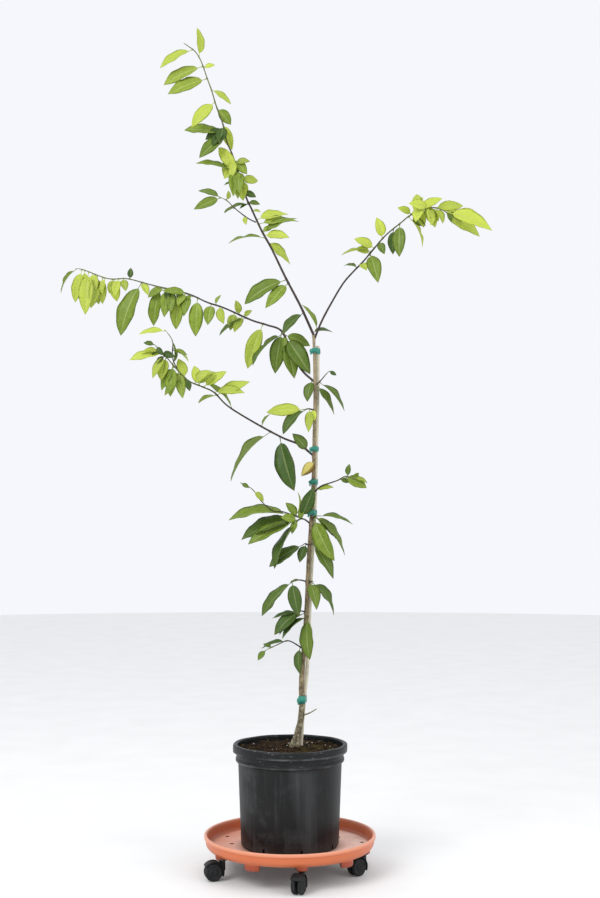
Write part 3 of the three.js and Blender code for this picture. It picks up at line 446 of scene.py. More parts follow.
def softened(outline, reach, steps=3, closed=False):
    """An outline with its corners rounded: each corner gives way to the curve (1-t)²·start + 2t(1-t)·corner
    + t²·end, where start and end lie at most reach from the corner and at most 0.4 of the way to the next
    one. A point 1.2 times as far out on each side keeps the flats flat when they are shaded."""
    outline = np.array(outline, float)
    ends = []
    for other in (np.roll(outline, 1, axis=0), np.roll(outline, -1, axis=0)):
        far = np.linalg.norm(other - outline, axis=1)
        share = np.minimum(reach, 0.4 * far) / np.maximum(far, 1e-9)
        ends += [outline + (other - outline) * (hold * share)[:, None] for hold in (1.0, 1.2)]
    start, hold_start, end, hold_end = ends
    t = np.linspace(0, 1, steps + 1)[None, :, None]
    curve = (1 - t) ** 2 * start[:, None] + 2 * t * (1 - t) * outline[:, None] + t**2 * end[:, None]
    curve = np.concatenate([hold_start[:, None], curve, hold_end[:, None]], axis=1)
    if closed:
        return curve.reshape(-1, outline.shape[1])
    middle = curve[1:-1].reshape(-1, outline.shape[1])
    return np.vstack([outline[:1], middle, outline[-1:]])


def rounded(outline, steps=3):
    """An outline of (radius, height, reach) with each corner softened by its own reach."""
    corners = np.array(outline, float)
    return softened(corners[:, :2], corners[:, 2], steps)


def spline(route):
    """A smooth course through the route's points, in 14 steps between two of them. There it is the cubic
    whose slope at each is half the chord between that point's neighbours; beyond an end, the neighbour is
    mirrored."""
    knots = np.array(route, float)
    knots = np.vstack([2 * knots[0] - knots[1], knots, 2 * knots[-1] - knots[-2]])
    t = np.linspace(0, 1, 14, endpoint=False)[None, :, None]
    p0, p1, p2, p3 = (knots[i : len(knots) - 3 + i][:, None] for i in range(4))
    slope_1, slope_2 = (p2 - p0) / 2, (p3 - p1) / 2
    course = (
        (2 * t**3 - 3 * t**2 + 1) * p1
        + (t**3 - 2 * t**2 + t) * slope_1
        + (3 * t**2 - 2 * t**3) * p2
        + (t**3 - t**2) * slope_2
    )
    return np.vstack([course.reshape(-1, 3), knots[-2:-1]])


def walk(route, shares):
    """Points and directions at shares of the length of the route's smooth course."""
    course = spline(route)
    far = np.concatenate([[0], np.cumsum(np.linalg.norm(np.diff(course, axis=0), axis=1))])
    at = np.asarray(shares, float) * far[-1]

    def place(where):
        where = np.clip(where, 0, far[-1])
        return np.stack([np.interp(where, far, course[:, axis]) for axis in range(3)], axis=-1)

    return place(at), unit(place(at + 0.5) - place(at - 0.5)), far[-1]


def tube(centres, courses, radii, sides, away=(0.0, 1.0, 0.0), values=None):
    """A round skin along a path: each ring is its centre + radius × (cos a · across + sin a · over), where
    across is square to the course and to away, and over is square to both. Both ends are capped."""
    across = unit(np.cross(np.array(away), courses))
    over = np.cross(courses, across)
    angles = circle(sides)
    radii = np.asarray(radii, float)
    radii = radii[:, None] if radii.ndim == 1 else radii
    radii = np.broadcast_to(radii, (len(centres), sides))[..., None]
    turn = np.cos(angles)[:, None] * across[:, None] + np.sin(angles)[:, None] * over[:, None]
    return skin(centres[:, None] + radii * turn, values=values)


def ripples(points, wavelength, seed, octaves=2):
    """Smooth seeded relief from about -1 to 1: sine waves that run in random directions, where each
    octave's waves are half as long and half as high as the last one's."""
    draw = np.random.default_rng(seed)
    waves = 7
    total = np.zeros(points.shape[:-1])
    for octave in range(octaves):
        runs = unit(draw.normal(size=(waves, 3))) * 2 * math.pi / (wavelength / 2**octave)
        starts = draw.uniform(0, 2 * math.pi, waves)
        total += np.sin(points @ runs.T + starts).sum(axis=-1) / 3.2 / 2**octave
    return total / 1.75


def step(value, low, high):
    """Rises smoothly from 0 at low to 1 at high, as 3t² - 2t³."""
    t = np.clip((value - low) / (high - low), 0, 1)
    return t * t * (3 - 2 * t)


def polar(radius, angle):
    """x and y at a radius from the pot's axis. The angle is 0 at the front and grows towards the right."""
    return radius * math.sin(math.radians(angle)), -radius * math.cos(math.radians(angle))


def moved(shape, turn=0.0, offset=(0.0, 0.0, 0.0)):
    """A shape turned about Z by degrees and then shifted."""
    points, faces, values = shape
    c, s = math.cos(math.radians(turn)), math.sin(math.radians(turn))
    spin = np.array([[c, -s, 0], [s, c, 0], [0, 0, 1]])
    return points @ spin.T + np.array(offset, float), faces, values


# Pieces.


def placed(name, data):
    """A new object for some data, in the scene."""
    made = bpy.data.objects.new(name, data)
    bpy.context.scene.collection.objects.link(made)
    return made


def mesh_of(name, shape, sharp=None):
    """A mesh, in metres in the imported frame, from a shape. Edges bent by more than sharp degrees stay
    crisp."""
    points, faces, values = shape
    loops = np.concatenate([face.ravel() for face in faces]).astype(np.int32)
    sizes = np.concatenate([np.full(len(face), face.shape[1]) for face in faces])
    starts = np.concatenate([[0], np.cumsum(sizes)[:-1]]).astype(np.int32)
    mesh = bpy.data.meshes.new(name)
    mesh.vertices.add(len(points))
    mesh.vertices.foreach_set("co", (points * MM + AXIS).astype(np.float32).ravel())
    mesh.loops.add(len(loops))
    mesh.loops.foreach_set("vertex_index", loops)
    mesh.polygons.add(len(sizes))
    mesh.polygons.foreach_set("loop_start", starts)
    mesh.update(calc_edges=True)
    for key, value in values.items():
        made = mesh.attributes.new(key, "FLOAT_VECTOR", "POINT")
        made.data.foreach_set("vector", value.astype(np.float32).ravel())
    mesh.validate()
    mesh.shade_smooth()
    if sharp is not None:
        mesh.set_sharp_from_angle(angle=math.radians(sharp))
    return mesh


def add_piece(name, shape, material, body, slot, nodes=(), sharp=None):
    """Puts a finished piece in the scene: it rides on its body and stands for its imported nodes."""
    piece = placed(name, mesh_of(name, shape, sharp))
    piece.data.materials.append(material)
    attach(piece, body)
    if nodes:
        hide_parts(*nodes)
    return piece


def carve(piece, cutter_shape, sharp):
    """Cuts the cutter's solids out of a piece, and takes the cutter away again."""
    cutter = placed("cutter", mesh_of("cutter", cutter_shape))
    cut = piece.modifiers.new("cut", "BOOLEAN")
    cut.operation = "DIFFERENCE"
    cut.solver = "EXACT"
    cut.object = cutter
    bpy.context.view_layer.update()
    carved = bpy.data.meshes.new_from_object(piece.evaluated_get(bpy.context.evaluated_depsgraph_get()))
    piece.modifiers.clear()
    old, piece.data = piece.data, carved
    carved.name = piece.name
    bpy.data.meshes.remove(old)
    old = cutter.data
    bpy.data.objects.remove(cutter)
    bpy.data.meshes.remove(old)
    carved.shade_smooth()
    carved.set_sharp_from_angle(angle=math.radians(sharp))


# The plant.


def draws(seed):
    """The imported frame's own seeded draws from 0 to 1, so that both grow the same leaves: each state is
    16807 times the last one, modulo 2³¹ - 1."""
    state, modulus = seed, 2**31 - 1
    while True:
        state = (state * 16807) % modulus
        yield state / modulus


# Where a blade's columns lie across it, over its top and back underneath. SIDES is 1 for those on top.
TOP_COLUMNS = np.array([-1, -0.62, -0.2, 0, 0.2, 0.62, 1])
COLUMNS = np.concatenate([TOP_COLUMNS, TOP_COLUMNS[-2:0:-1]])
SIDES = np.repeat([1.0, 0.0], [len(TOP_COLUMNS), len(COLUMNS) - len(TOP_COLUMNS)])


def leaf(base, row, hue, draw, chance, thickness):
    """A closed blade on its petiole, as a grid of s along the leaf and t across it, over the top and back
    underneath. hue is the age of its colour. The midrib is base + length × (start·(s - s²/2) + end·s²/2),
    so it arches from start to end. The half width is a pointed oval, x^0.65 × (1-x)^0.95. Across it the
    blade rises from the midrib by the fold, one edge lifts while the other drops by the ripple, and both
    edges flutter as t² × sin(waves·s)."""
    _, length, swing, lean, age = row[:5]
    roll = LEAF.roll * (next(draw) - 0.5)
    arch, fold, wave = (least + spread * next(draw) for least, spread in (LEAF.arch, LEAF.fold, LEAF.wave))
    roll = row[5] if len(row) > 5 else roll
    roll, fold, swing, lean = (math.radians(angle) for angle in (roll, fold, swing, lean))
    wave = length * wave
    along = np.array([math.sin(swing) * math.cos(lean), math.sin(lean), -math.cos(swing) * math.cos(lean)])
    light = np.array(LEAF.light)
    face = unit(light - along * along.dot(light))
    face = face * math.cos(roll) + np.cross(along, face) * math.sin(roll)
    start, end = unit(along + arch * face), unit(along - arch * face)

    petiole = LEAF.petiole
    blade_rows = petiole + (1 - petiole) * (np.arange(1, 15) / 14) ** 1.08
    s = np.concatenate([[0, petiole * 0.55, petiole * 0.97], blade_rows])
    x = np.clip((s - petiole) / (1 - petiole), 0, 1)
    share = LEAF.young_width + (LEAF.old_width - LEAF.young_width) * age
    widest = length * (LEAF.short_width if length < LEAF.short else share)
    oval = LEAF.scale * x ** LEAF.rise * (1 - x) ** LEAF.fall
    half = np.maximum(LEAF.tip_width, widest * oval) / 2
    stalk = 1 - step(x, 0, 0.05)
    half = half * (1 - stalk) + (0.8 + 0.5 * (1 - s / petiole)) * stalk

    middle = base + length * (start * (s - s**2 / 2)[:, None] + end * (s**2 / 2)[:, None])
    course = unit(start * (1 - s)[:, None] + end * s[:, None])
    across = unit(np.cross(course, face))
    up = np.cross(across, course)

    t = COLUMNS[None, :]
    edge = np.abs(t)
    # A long blade has a whole ripple along it, and a shorter one half of one.
    if length >= LEAF.long:
        pattern = np.sin(2 * math.pi * x)
    else:
        pattern = np.sin(math.pi * x) * (1 if length >= LEAF.middling else -1)
    ripple = (wave * pattern)[:, None] * -t * edge
    starts = chance.uniform(0, 2 * math.pi, 2)
    waves = chance.uniform(2.2, 3.6)
    flutter = np.sin(2 * math.pi * waves * s[:, None] + np.where(t < 0, *starts)) * edge**2
    flutter *= 0.013 * length * np.sin(math.pi * x)[:, None]
    lift = half[:, None] * math.sin(fold) * edge * (1.22 - 0.22 * edge)
    blade = lift + ripple + flutter
    under = SIDES[None, :] == 0
    rib = LEAF.rib * (1 - x[:, None]) ** 0.8 * np.clip(1 - edge / 0.3, 0, 1) * length / 110
    blade = blade - np.where(under, thickness + rib, np.where(edge == 1, thickness / 2, 0.35 * (edge == 0)))
    rounding = LEAF.rod * np.sqrt(1 - t**2)
    rod = np.where(under, -rounding, rounding) - LEAF.rod
    height = blade * (1 - stalk[:, None]) + rod * stalk[:, None]
    reach = half[:, None] * t * (math.cos(fold) * (1 - stalk[:, None]) + stalk[:, None])
    grid = middle[:, None] + across[:, None] * reach[..., None] + up[:, None] * height[..., None]

    s = s[:, None]
    values = {"leaf": stacked(t, s, length / 100), "tone": stacked(hue, chance.uniform(), SIDES + 0 * s)}
    return skin(grid, values=values), start


def bud(at, course):
    """A pointed bud: a round skin along its course whose radius swells and closes as sin(pi·(0.25 +
    0.74·share))^0.7."""
    rings, sides = 6, 5
    share = np.linspace(0.02, 1, rings)
    radii = BUD.radius * np.sin(math.pi * (0.25 + 0.74 * share)) ** 0.7
    centres = at + course * (BUD.off + share * BUD.length)[:, None]
    values = {"stem": np.tile([0.95, 0.0, 1.0], (rings, sides, 1))}
    return tube(centres, np.tile(course, (rings, 1)), radii, sides, away=(0.3, 0.95, 0.1), values=values)


def stem(route, radii, nodes, chance):
    """A round stem along its route that tapers evenly, swells a little at each node and rounds off at its
    tip. It has a ring about every 5 mm, and six at least."""
    _, _, length = walk(route, [0])
    sides = 9
    share = np.linspace(0, 1, max(6, round(length / 5)))
    centres, courses, _ = walk(route, share)
    thick, thin = radii
    radius = thick + (thin - thick) * share
    for place in nodes:
        radius = radius + 0.4 * np.exp(-(((share - place) * length / 2.6) ** 2))
    radius = radius * (1 + 0.05 * ripples(centres, 22, int(chance.integers(1 << 30))))
    radius[-2:] *= np.array([0.85, 0.35])
    values = {"stem": stacked(share[:, None], radius[:, None], np.zeros(sides))}
    return tube(centres, courses, radius, sides, values=values)


def shoots(thickness):
    """Every leafy shoot as (name, its stems in one shape, its leaves in one shape)."""
    draw, more = draws(LEAF.seed), draws(LEAF.filler_seed)
    chance = np.random.default_rng(LEAF.seed)
    for name, stems in SHOOTS.items():
        wood, blades = [], []
        for grown in stems:
            route, leaves, extra = grown["route"], grown["leaves"], grown.get("extra", [])
            wood.append(stem(route, grown["radii"], [row[0] for row in leaves + extra], chance))
            for rows, source, hues in ((leaves, draw, grown.get("hues", {})), (extra, more, {})):
                for index, row in enumerate(rows):
                    at, course, _ = walk(route, [row[0]])
                    blade, start = leaf(at[0], row, hues.get(index, row[4]), source, chance, thickness)
                    blades.append(blade)
                    side = unit(start + 0.6 * course[0] * np.sign(start.dot(course[0]) + 1e-9))
                    wood.append(bud(at[0], side))
        yield name, joined(wood), joined(blades)


def trunk_shape():
    """The trunk's radius at height z and bearing a, in degrees from +X towards +Y, is the tapering radius,
    plus the root flares, each reach × rise(z) × exp(-((a - bearing) / spread)²), less a groove between the
    two front ones, plus a knot where each shoot leaves, times ripples of bark that are deeper on the
    rootstock."""
    bottom, middle, top = TRUNK_RADII[0][0], GRAFT.high + 10, TRUNK_RADII[-1][0]
    z = np.concatenate([np.arange(bottom, middle, 2.5), np.arange(middle, top - 2, 4.0), [top - 1.5, top]])
    course, ways, _ = walk(TRUNK_ROUTE, np.linspace(0, 1, 500))
    centres, courses = (
        np.stack([np.interp(z, course[:, 2], rows[:, axis]) for axis in range(3)], axis=-1)
        for rows in (course, ways)
    )
    sides = 28
    bearings = 360 * np.arange(sides) / sides
    radius = np.interp(z, *zip(*TRUNK_RADII))[:, None] * np.ones(sides)
    smooth = step(z, GRAFT.low, GRAFT.high)[:, None]
    rise = step(-z, -FLARE_TOP, 38 - FLARE_TOP)[:, None] ** 1.3
    swells = [(bearing, reach * rise, spread) for bearing, reach, spread in FLARES]
    swells.append((GROOVE.angle, -GROOVE.depth * rise, GROOVE.spread))
    for stems in SHOOTS.values():
        (x0, y0, z0), (x1, y1, _) = stems[0]["route"][:2]
        knot = 1.1 * np.exp(-(((z - z0) / 5) ** 2))[:, None]
        swells.append((math.degrees(math.atan2(y1 - y0, x1 - x0)), knot, 50))
    for bearing, reach, spread in swells:
        apart = (bearings - bearing + 180) % 360 - 180
        radius = radius + reach * np.exp(-((apart / spread) ** 2))
    radius = radius + 0.5 * np.exp(-(((z - GRAFT.swelling) / 9) ** 2))[:, None]
    angles = np.radians(bearings)
    around = centres[:, None] + 7 * stacked(np.cos(angles), np.sin(angles), 0)
    relief = ripples(around, 17, 5, octaves=3)
    ridges = ripples(around * np.array([1, 1, 0.16]), 6, 6)
    radius = radius * (1 + (0.075 - 0.04 * smooth) * relief + (0.05 - 0.03 * smooth) * ridges)
    return tube(centres, unit(courses), radius, sides)


def twig_shape():
    """The short dead twig low on the trunk: a tube that tapers from 2.1 to 1 mm in radius, swells at its
    foot and has a snapped end."""
    share = np.linspace(0, 1, 9)
    centres, courses, _ = walk(DEAD_TWIG, share)
    radii = 2.1 - 1.1 * share + 0.3 * np.exp(-((share / 0.15) ** 2))
    return tube(centres, courses, radii, sides=7)


def cane_shape():
    """The cane: a tube of one radius with slow ripples, cut square at its top."""
    share = np.linspace(0, 1, 130)
    centres, courses, _ = walk(CANE_ROUTE, share)
    radius = CANE_RADIUS * (0.985 + 0.015 * ripples(centres, 70, 8))
    sides = 14
    around = circle(sides)
    values = {"stem": stacked(share[:, None], np.cos(around), np.sin(around))}
    return tube(centres, courses, radius, sides, values=values)


def crossing(route, z):
    """Where a route passes a height, along straight lines between its points."""
    x, y, heights = zip(*route)
    return np.array([np.interp(z, heights, x), np.interp(z, heights, y)])


def lump(centre, halves, seed):
    """A crumpled ellipsoid: half sizes × (sin b cos a, sin b sin a, -cos b) × (1 + 0.12 × ripples)."""
    down = np.linspace(0, math.pi, 11)[:, None]
    around = circle(14)
    ball = stacked(np.sin(down) * np.cos(around), np.sin(down) * np.sin(around), -np.cos(down))
    ball = ball * (1 + 0.12 * ripples(ball, 1.1, seed))[..., None]
    return skin(np.array(centre) + np.array(halves) * ball, poles=(True, True))


def ribbon(route, width, thickness):
    """A flat closed strip along a route: four corners at ± half the width across it and ± half its
    thickness."""
    share = np.linspace(0, 1, 9)
    centres, courses, _ = walk(route, share)
    across = unit(np.cross(np.array([0.2, 0.1, 1.0]), courses))
    over = np.cross(courses, across)
    wide, thick = np.array([-1, 1, 1, -1]) * width / 2, np.array([-1, -1, 1, 1]) * thickness / 2
    grid = centres[:, None] + across[:, None] * wide[:, None] + over[:, None] * thick[:, None]
    return skin(grid)


def tie_shape(z, width, number):
    """A band of stretch tape: the taut outline round trunk and cane, carried up its width. Its skin stands
    off by 0.8 + 0.55·|sin| of a slant, which shows the overlapping turns. A knot and two cut tails sit in
    front."""
    trunk, cane = crossing(TRUNK_ROUTE, z), crossing(CANE_ROUTE, z)
    trunk_radius, cane_radius = np.interp(z, *zip(*TRUNK_RADII)) + 0.5, CANE_RADIUS + 0.4
    toward = math.atan2(*(cane - trunk)[::-1])
    half = math.acos((trunk_radius - cane_radius) / np.linalg.norm(cane - trunk))
    first = np.linspace(toward + half, toward - half + 2 * math.pi, 40)
    second = np.linspace(toward - half, toward + half, 24)
    outline = np.vstack([
        trunk + trunk_radius * stacked(np.cos(first), np.sin(first)),
        cane + cane_radius * stacked(np.cos(second), np.sin(second)),
    ])
    closed = np.vstack([outline, outline[:1]])
    far = np.concatenate([[0], np.cumsum(np.linalg.norm(np.diff(closed, axis=0), axis=1))])
    at = np.linspace(0, far[-1], 96, endpoint=False)
    outline = np.stack([np.interp(at, far, closed[:, axis]) for axis in range(2)], axis=-1)
    way = unit(np.roll(outline, -1, axis=0) - np.roll(outline, 1, axis=0))
    normal = stacked(way[:, 1], -way[:, 0])
    rows = np.linspace(0.5, -0.5, 13)
    height = np.concatenate([rows, rows[::-2]])
    outside = np.repeat([1, 0], [len(rows), len(rows[::-2])])
    turn = (at / far[-1])[:, None]
    slant = np.abs(np.sin(math.pi * (3 * height + turn + 0.3 * number)))
    crumple = ripples(stacked(outline[:, :1], outline[:, 1:], z + width * height), 7, 30 + number)
    curl = 0.35 * (2 * np.abs(height)) ** 6
    off = outside * (0.8 + 0.55 * slant + 0.2 * crumple - curl) + (1 - outside) * 0.1
    slope = (crossing(TRUNK_ROUTE, z + 20)[0] - trunk[0]) / 20
    edge = 1 + 0.12 * np.sin(2 * math.pi * (2 * turn + 0.37 * number))
    rise = width * height * edge * 0.95
    grid = stacked(
        outline[:, :1] + normal[:, :1] * off + slope * rise,
        outline[:, 1:] + normal[:, 1:] * off,
        z + rise,
    )
    x, y = trunk[0] - 1, trunk[1] - trunk_radius - 2.4
    knot = [
        lump((x + 3.4, y, z + 0.8), (6.6, 3.6, width * 0.46), 40 + number),
        lump((x - 4.4, y + 0.2, z - 1), (5.8, 3.2, width * 0.42), 50 + number),
        lump((x - 0.5, y - 1.6, z), (3, 2.6, width * 0.34), 60 + number),
        ribbon([(x - 1, y - 2, z), (x - 5, y - 3.6, z - 4), (x - 7.5, y - 3.2, z - 10)], 4.6, 0.6),
        ribbon([(x + 1, y - 2, z), (x + 5.5, y - 3.4, z - 3), (x + 8.5, y - 2.6, z - 9)], 4.2, 0.6),
    ]
    return joined([skin(grid, along=True)] + knot)


# Pot, soil and caddy.


def box_shape(low, high):
    """A box from its lowest to its highest corner."""
    (x0, y0, z0), (x1, y1, z1) = low, high
    ring = ((x0, y0), (x1, y0), (x1, y1), (x0, y1))
    return skin(np.array([[(x, y, z) for x, y in ring] for z in (z0, z1)], float))


def rod_shape(x, y, low, high, radius, segments=32):
    """An upright cylinder with flat ends."""
    angles = circle(segments)
    heights = np.array([[low], [high]])
    return skin(stacked(x + radius * np.cos(angles), y + radius * np.sin(angles), heights))


def pot_shape():
    """The pot's wall as one turned outline of (radius, height, softening): foot, straight flared body, bead
    ring, recessed neck and a lip that hangs outside it as a skirt. Above the neck it is pushed out and up
    by under a millimetre times sines of the bearing, because a thin lip is never quite round or level."""
    top, wall = POT.top, POT.wall
    inner = POT.neck_radius - wall
    neck, bead, shoulder = top - POT.neck_depth, top - POT.bead_depth, top - POT.shoulder_depth
    outline = [
        (0, POT.foot, 0), (POT.foot_radius, POT.foot, 2.5), (POT.low_radius, POT.foot + 5, 2.5),
        (POT.high_radius, shoulder, 1.5), (POT.bead_radius, bead, 2.2), (POT.bead_radius, neck, 2.2),
        (POT.neck_radius, neck + 0.5, 0.5), (POT.neck_radius, top - 2.5, 0.5),
        (POT.lip_radius - wall, top - 2.5, 0.8), (POT.lip_radius - wall, top - POT.lip_depth, 0.6),
        (POT.lip_radius, top - POT.lip_depth, 0.8), (POT.lip_radius + 0.3, top - 3, 2.5),
        (POT.lip_radius - 1.5, top, 2.5), (inner + 2, top, 1.5), (inner, top - 2, 1.5),
        (inner, neck + 0.5, 1), (POT.high_radius - wall, shoulder, 1),
        (POT.low_radius - wall, POT.foot + 5, 1), (POT.foot_radius - wall, POT.foot + POT.floor, 1),
        (0, POT.foot + POT.floor, 0),
    ]
    points, faces, values = turned(rounded(outline), 128)
    angle = np.arctan2(points[:, 1], points[:, 0])
    worn = step(points[:, 2], neck, top)
    out = worn * (0.7 * np.sin(3 * angle + 1.1) + 0.35 * np.sin(8 * angle))
    points[:, :2] *= 1 + (out / POT.lip_radius)[:, None]
    points[:, 2] += worn * (0.5 * np.sin(2 * angle + 0.6) + 0.3 * np.sin(9 * angle + 2))
    return points, faces, values


def slot_cutters():
    """The boxes that cut the drain slots through the pot's foot."""
    half = SLOTS.width / 2
    box = box_shape((-half, -POT.low_radius - 6, SLOTS.low), (half, -POT.low_radius + 6, SLOTS.high))
    return joined([moved(box, SLOTS.angle + 360 / SLOTS.count * i) for i in range(SLOTS.count)])


def soil_height(x, y):
    """The soil's surface: a low dome with a few soft bumps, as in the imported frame, with lumps and crumbs
    about 26, 9 and 4 mm across on it, which are half as high at the rim."""
    reach = np.hypot(x, y) / (POT.neck_radius - POT.wall)
    bumps = 1.6 * np.sin(0.06 * x + 1) * np.cos(0.05 * y) + 0.9 * np.sin(0.11 * y + 0.09 * x)
    spots = stacked(x, y, 0)
    lumps = 1.5 * ripples(spots, 26, 61) + ripples(spots, 9, 62)
    lumps = lumps + 0.6 * np.abs(ripples(spots, 4, 63))
    return SOIL.middle - SOIL.fall * reach**2 + bumps + lumps * (1 - 0.5 * step(reach, 0.9, 1))


def soil_shape():
    """The plug of soil: rings that shrink to the middle of its top, and a plain side and bottom."""
    sides = 150
    angles = circle(sides)
    shoulder = POT.top - POT.shoulder_depth
    wall = np.array([
        (0, SOIL.low), (POT.low_radius - 4, SOIL.low), (POT.high_radius - 3, shoulder - 1),
        (SOIL.rim, shoulder + 13),
    ])
    radii = np.concatenate([SOIL.rim - np.array([0, 0.8]), np.linspace(SOIL.rim - 2.5, 0, 68)])
    reach = np.concatenate([wall[:, 0], radii])[:, None]
    x, y = reach * np.cos(angles), reach * np.sin(angles)
    grid = stacked(x, y, soil_height(x, y))
    grid[: len(wall), :, 2] = wall[:, 1:]
    return skin(grid, poles=(True, True))


# A block's corners, its faces, and the half sizes of a bark chip and of a grain of perlite.
CUBE = np.array([(x, y, z) for z in (-1.0, 1.0) for x, y in ((-1, -1), (1, -1), (1, 1), (-1, 1))])
CUBE_FACES = np.array([[3, 2, 1, 0], [4, 5, 6, 7], [0, 1, 5, 4], [1, 2, 6, 5], [2, 3, 7, 6], [3, 0, 4, 7]])
CHIP = (3.2, 1.9, 0.9)
PERLITE = (1.3, 1.2, 1.1)


def scattered(count, halves, seed, sink):
    """Small blocks strewn over the soil: a cube's corners × half sizes, each corner pushed about, the block
    turned at random and set at the soil's height less its sink."""
    draw = np.random.default_rng(seed)
    corners = CUBE * (1 + 0.3 * draw.uniform(-1, 1, (count, 8, 3)))
    corners = corners * (np.array(halves) * draw.uniform(0.55, 1.35, (count, 1, 1)))
    turns = unit(draw.normal(size=(count, 4)) * np.array([1, 0.35, 0.35, 1]))
    w, x, y, z = turns.T
    spin = np.array([
        [1 - 2 * (y * y + z * z), 2 * (x * y - z * w), 2 * (x * z + y * w)],
        [2 * (x * y + z * w), 1 - 2 * (x * x + z * z), 2 * (y * z - x * w)],
        [2 * (x * z - y * w), 2 * (y * z + x * w), 1 - 2 * (x * x + y * y)],
    ]).transpose(2, 0, 1)
    corners = np.einsum("nij,nkj->nki", spin, corners)
    radius = (SOIL.rim - 5) * np.sqrt(draw.uniform(0, 1, count))
    angle = draw.uniform(0, 2 * math.pi, count)
    px, py = radius * np.cos(angle), radius * np.sin(angle)
    place = stacked(px, py, soil_height(px, py) - sink)
    faces = (CUBE_FACES + 8 * np.arange(count)[:, None, None]).reshape(-1, 4)
    tones = stacked(draw.uniform(size=count), draw.uniform(size=count), 0).repeat(8, axis=0)
    return (corners + place[:, None]).reshape(-1, 3), [faces], {"tone": tones}


def tray_shape():
    """The dish as one turned outline of (radius, height, softening): flat underside, sloping wall, a
    rounded bead for a lip and a flat floor."""
    lip, floor, top = TRAY.lip_radius, TRAY.floor, TRAY.top
    outline = [
        (0, TRAY.under, 0), (lip - 11, TRAY.under, 3), (lip - 4.5, TRAY.under + 7, 3),
        (lip - 2.2, top - 8.6, 1.2), (lip, top - 7.6, 1.5), (lip, top - 1.5, 2.2), (lip - 1.5, top, 1.5),
        (lip - 5, top, 1.5), (lip - 6.8, top - 1.8, 2), (lip - 9, floor + 6, 3),
        (TRAY.floor_radius, floor, 3), (0, floor, 0),
    ]
    return turned(rounded(outline, steps=4), 160)


def tray_cutters():
    """The rods that cut the drain holes through the dish and let the caster pins into its underside."""
    rods = []
    for turn in FIFTHS:
        for angle, radius, bore in DRAINS:
            rods.append(rod_shape(*polar(radius, angle + turn), TRAY.under - 1, TRAY.floor + 1, bore))
        x, y = polar(SOCKET.radius, SOCKET.angle + turn)
        rods.append(rod_shape(x, y, TRAY.under - 1, SOCKET.bottom + SOCKET.depth, SOCKET.bore))
    return joined(rods)


def tray_bosses():
    """Under the dish, five round caster sockets, each a turned ring, and five oval skirts whose half sizes
    grow upwards like a cone's."""
    shapes = []
    low, high, boss = SOCKET.bottom, TRAY.under + 1, SOCKET.boss
    ring = [(SOCKET.bore, low), (boss - 1, low), (boss, high), (SOCKET.bore, high)]
    socket = turned(softened(ring, 1.2, closed=True), 40)
    share = np.array([0, 0, 0.06, 0.14, 0.3, 1, 1])[:, None]
    size = np.array([0, 0.84, 0.89, 0.915, 0.93, 1, 0])[:, None]
    angles = circle(48)
    x, y = LOBE.half_width * size * np.cos(angles), LOBE.half_depth * size * np.sin(angles)
    lobe = skin(stacked(x, y, LOBE.bottom + (high - LOBE.bottom) * share), poles=(True, True))
    for turn in FIFTHS:
        shapes.append(moved(socket, 0, (*polar(SOCKET.radius, SOCKET.angle + turn), 0)))
        angle = LOBE.angle + turn
        shapes.append(moved(lobe, angle, (*polar(LOBE.radius, angle), 0)))
    return joined(shapes)


def tipped(shape):
    """A shape turned so that its Z runs along Y."""
    points, faces, values = shape
    return points[:, [0, 2, 1]] * np.array([1, 1, -1]), faces, values


def extruded(outline, low, high):
    """A flat outline in X and Z, counter-clockwise when seen from -Y, carried along Y between two
    values."""
    outline = np.array(outline, float)
    return skin(np.stack([stacked(outline[:, 0], y, outline[:, 1]) for y in (high, low)]))


def caster_fork():
    """A caster's fork about its own pin: a hood, which is a curved section carried round the axle, a middle
    web with the axle's hub, a round housing and the pin."""
    trail, axle = FORK.trail, WHEEL.radius
    angles = np.radians(np.linspace(FORK.start, FORK.end, 40))[:, None]
    half, outer, inside = FORK.half_width, FORK.hood, FORK.inside
    edge, slope = outer - 1.6, half - 2.5
    section = [(-half, inside), (half, inside), (half, edge), (slope, outer), (-slope, outer), (-half, edge)]
    y, reach = softened(section, 0.7, closed=True)[::-1].T
    hood = skin(stacked(trail + reach * np.cos(angles), y, axle + reach * np.sin(angles)))
    sweep = np.radians(np.linspace(FORK.start, FORK.end, 28))
    rim = [(trail + FORK.web_radius * math.cos(a), axle + FORK.web_radius * math.sin(a)) for a in sweep]
    web = extruded([(trail, axle)] + rim, -FORK.web, FORK.web)
    hub_line = softened([(0, -FORK.web), (FORK.hub, -FORK.web), (FORK.hub, FORK.web), (0, FORK.web)], 0.5)
    hub = moved(tipped(turned(hub_line, 32)), 0, (trail, 0, axle))
    seat, tip = SOCKET.bottom - FORK.gap, SOCKET.bottom + SOCKET.depth - FORK.gap
    housing, flange = FORK.housing, FORK.housing + FORK.flange
    post = turned(softened([
        (0, FORK.housing_low), (housing, FORK.housing_low), (housing, seat - 3), (flange, seat - 2.4),
        (flange, seat), (FORK.pin, seat), (FORK.pin, tip), (0, tip),
    ], 0.6), 40)
    return joined([hood, web, hub, post])


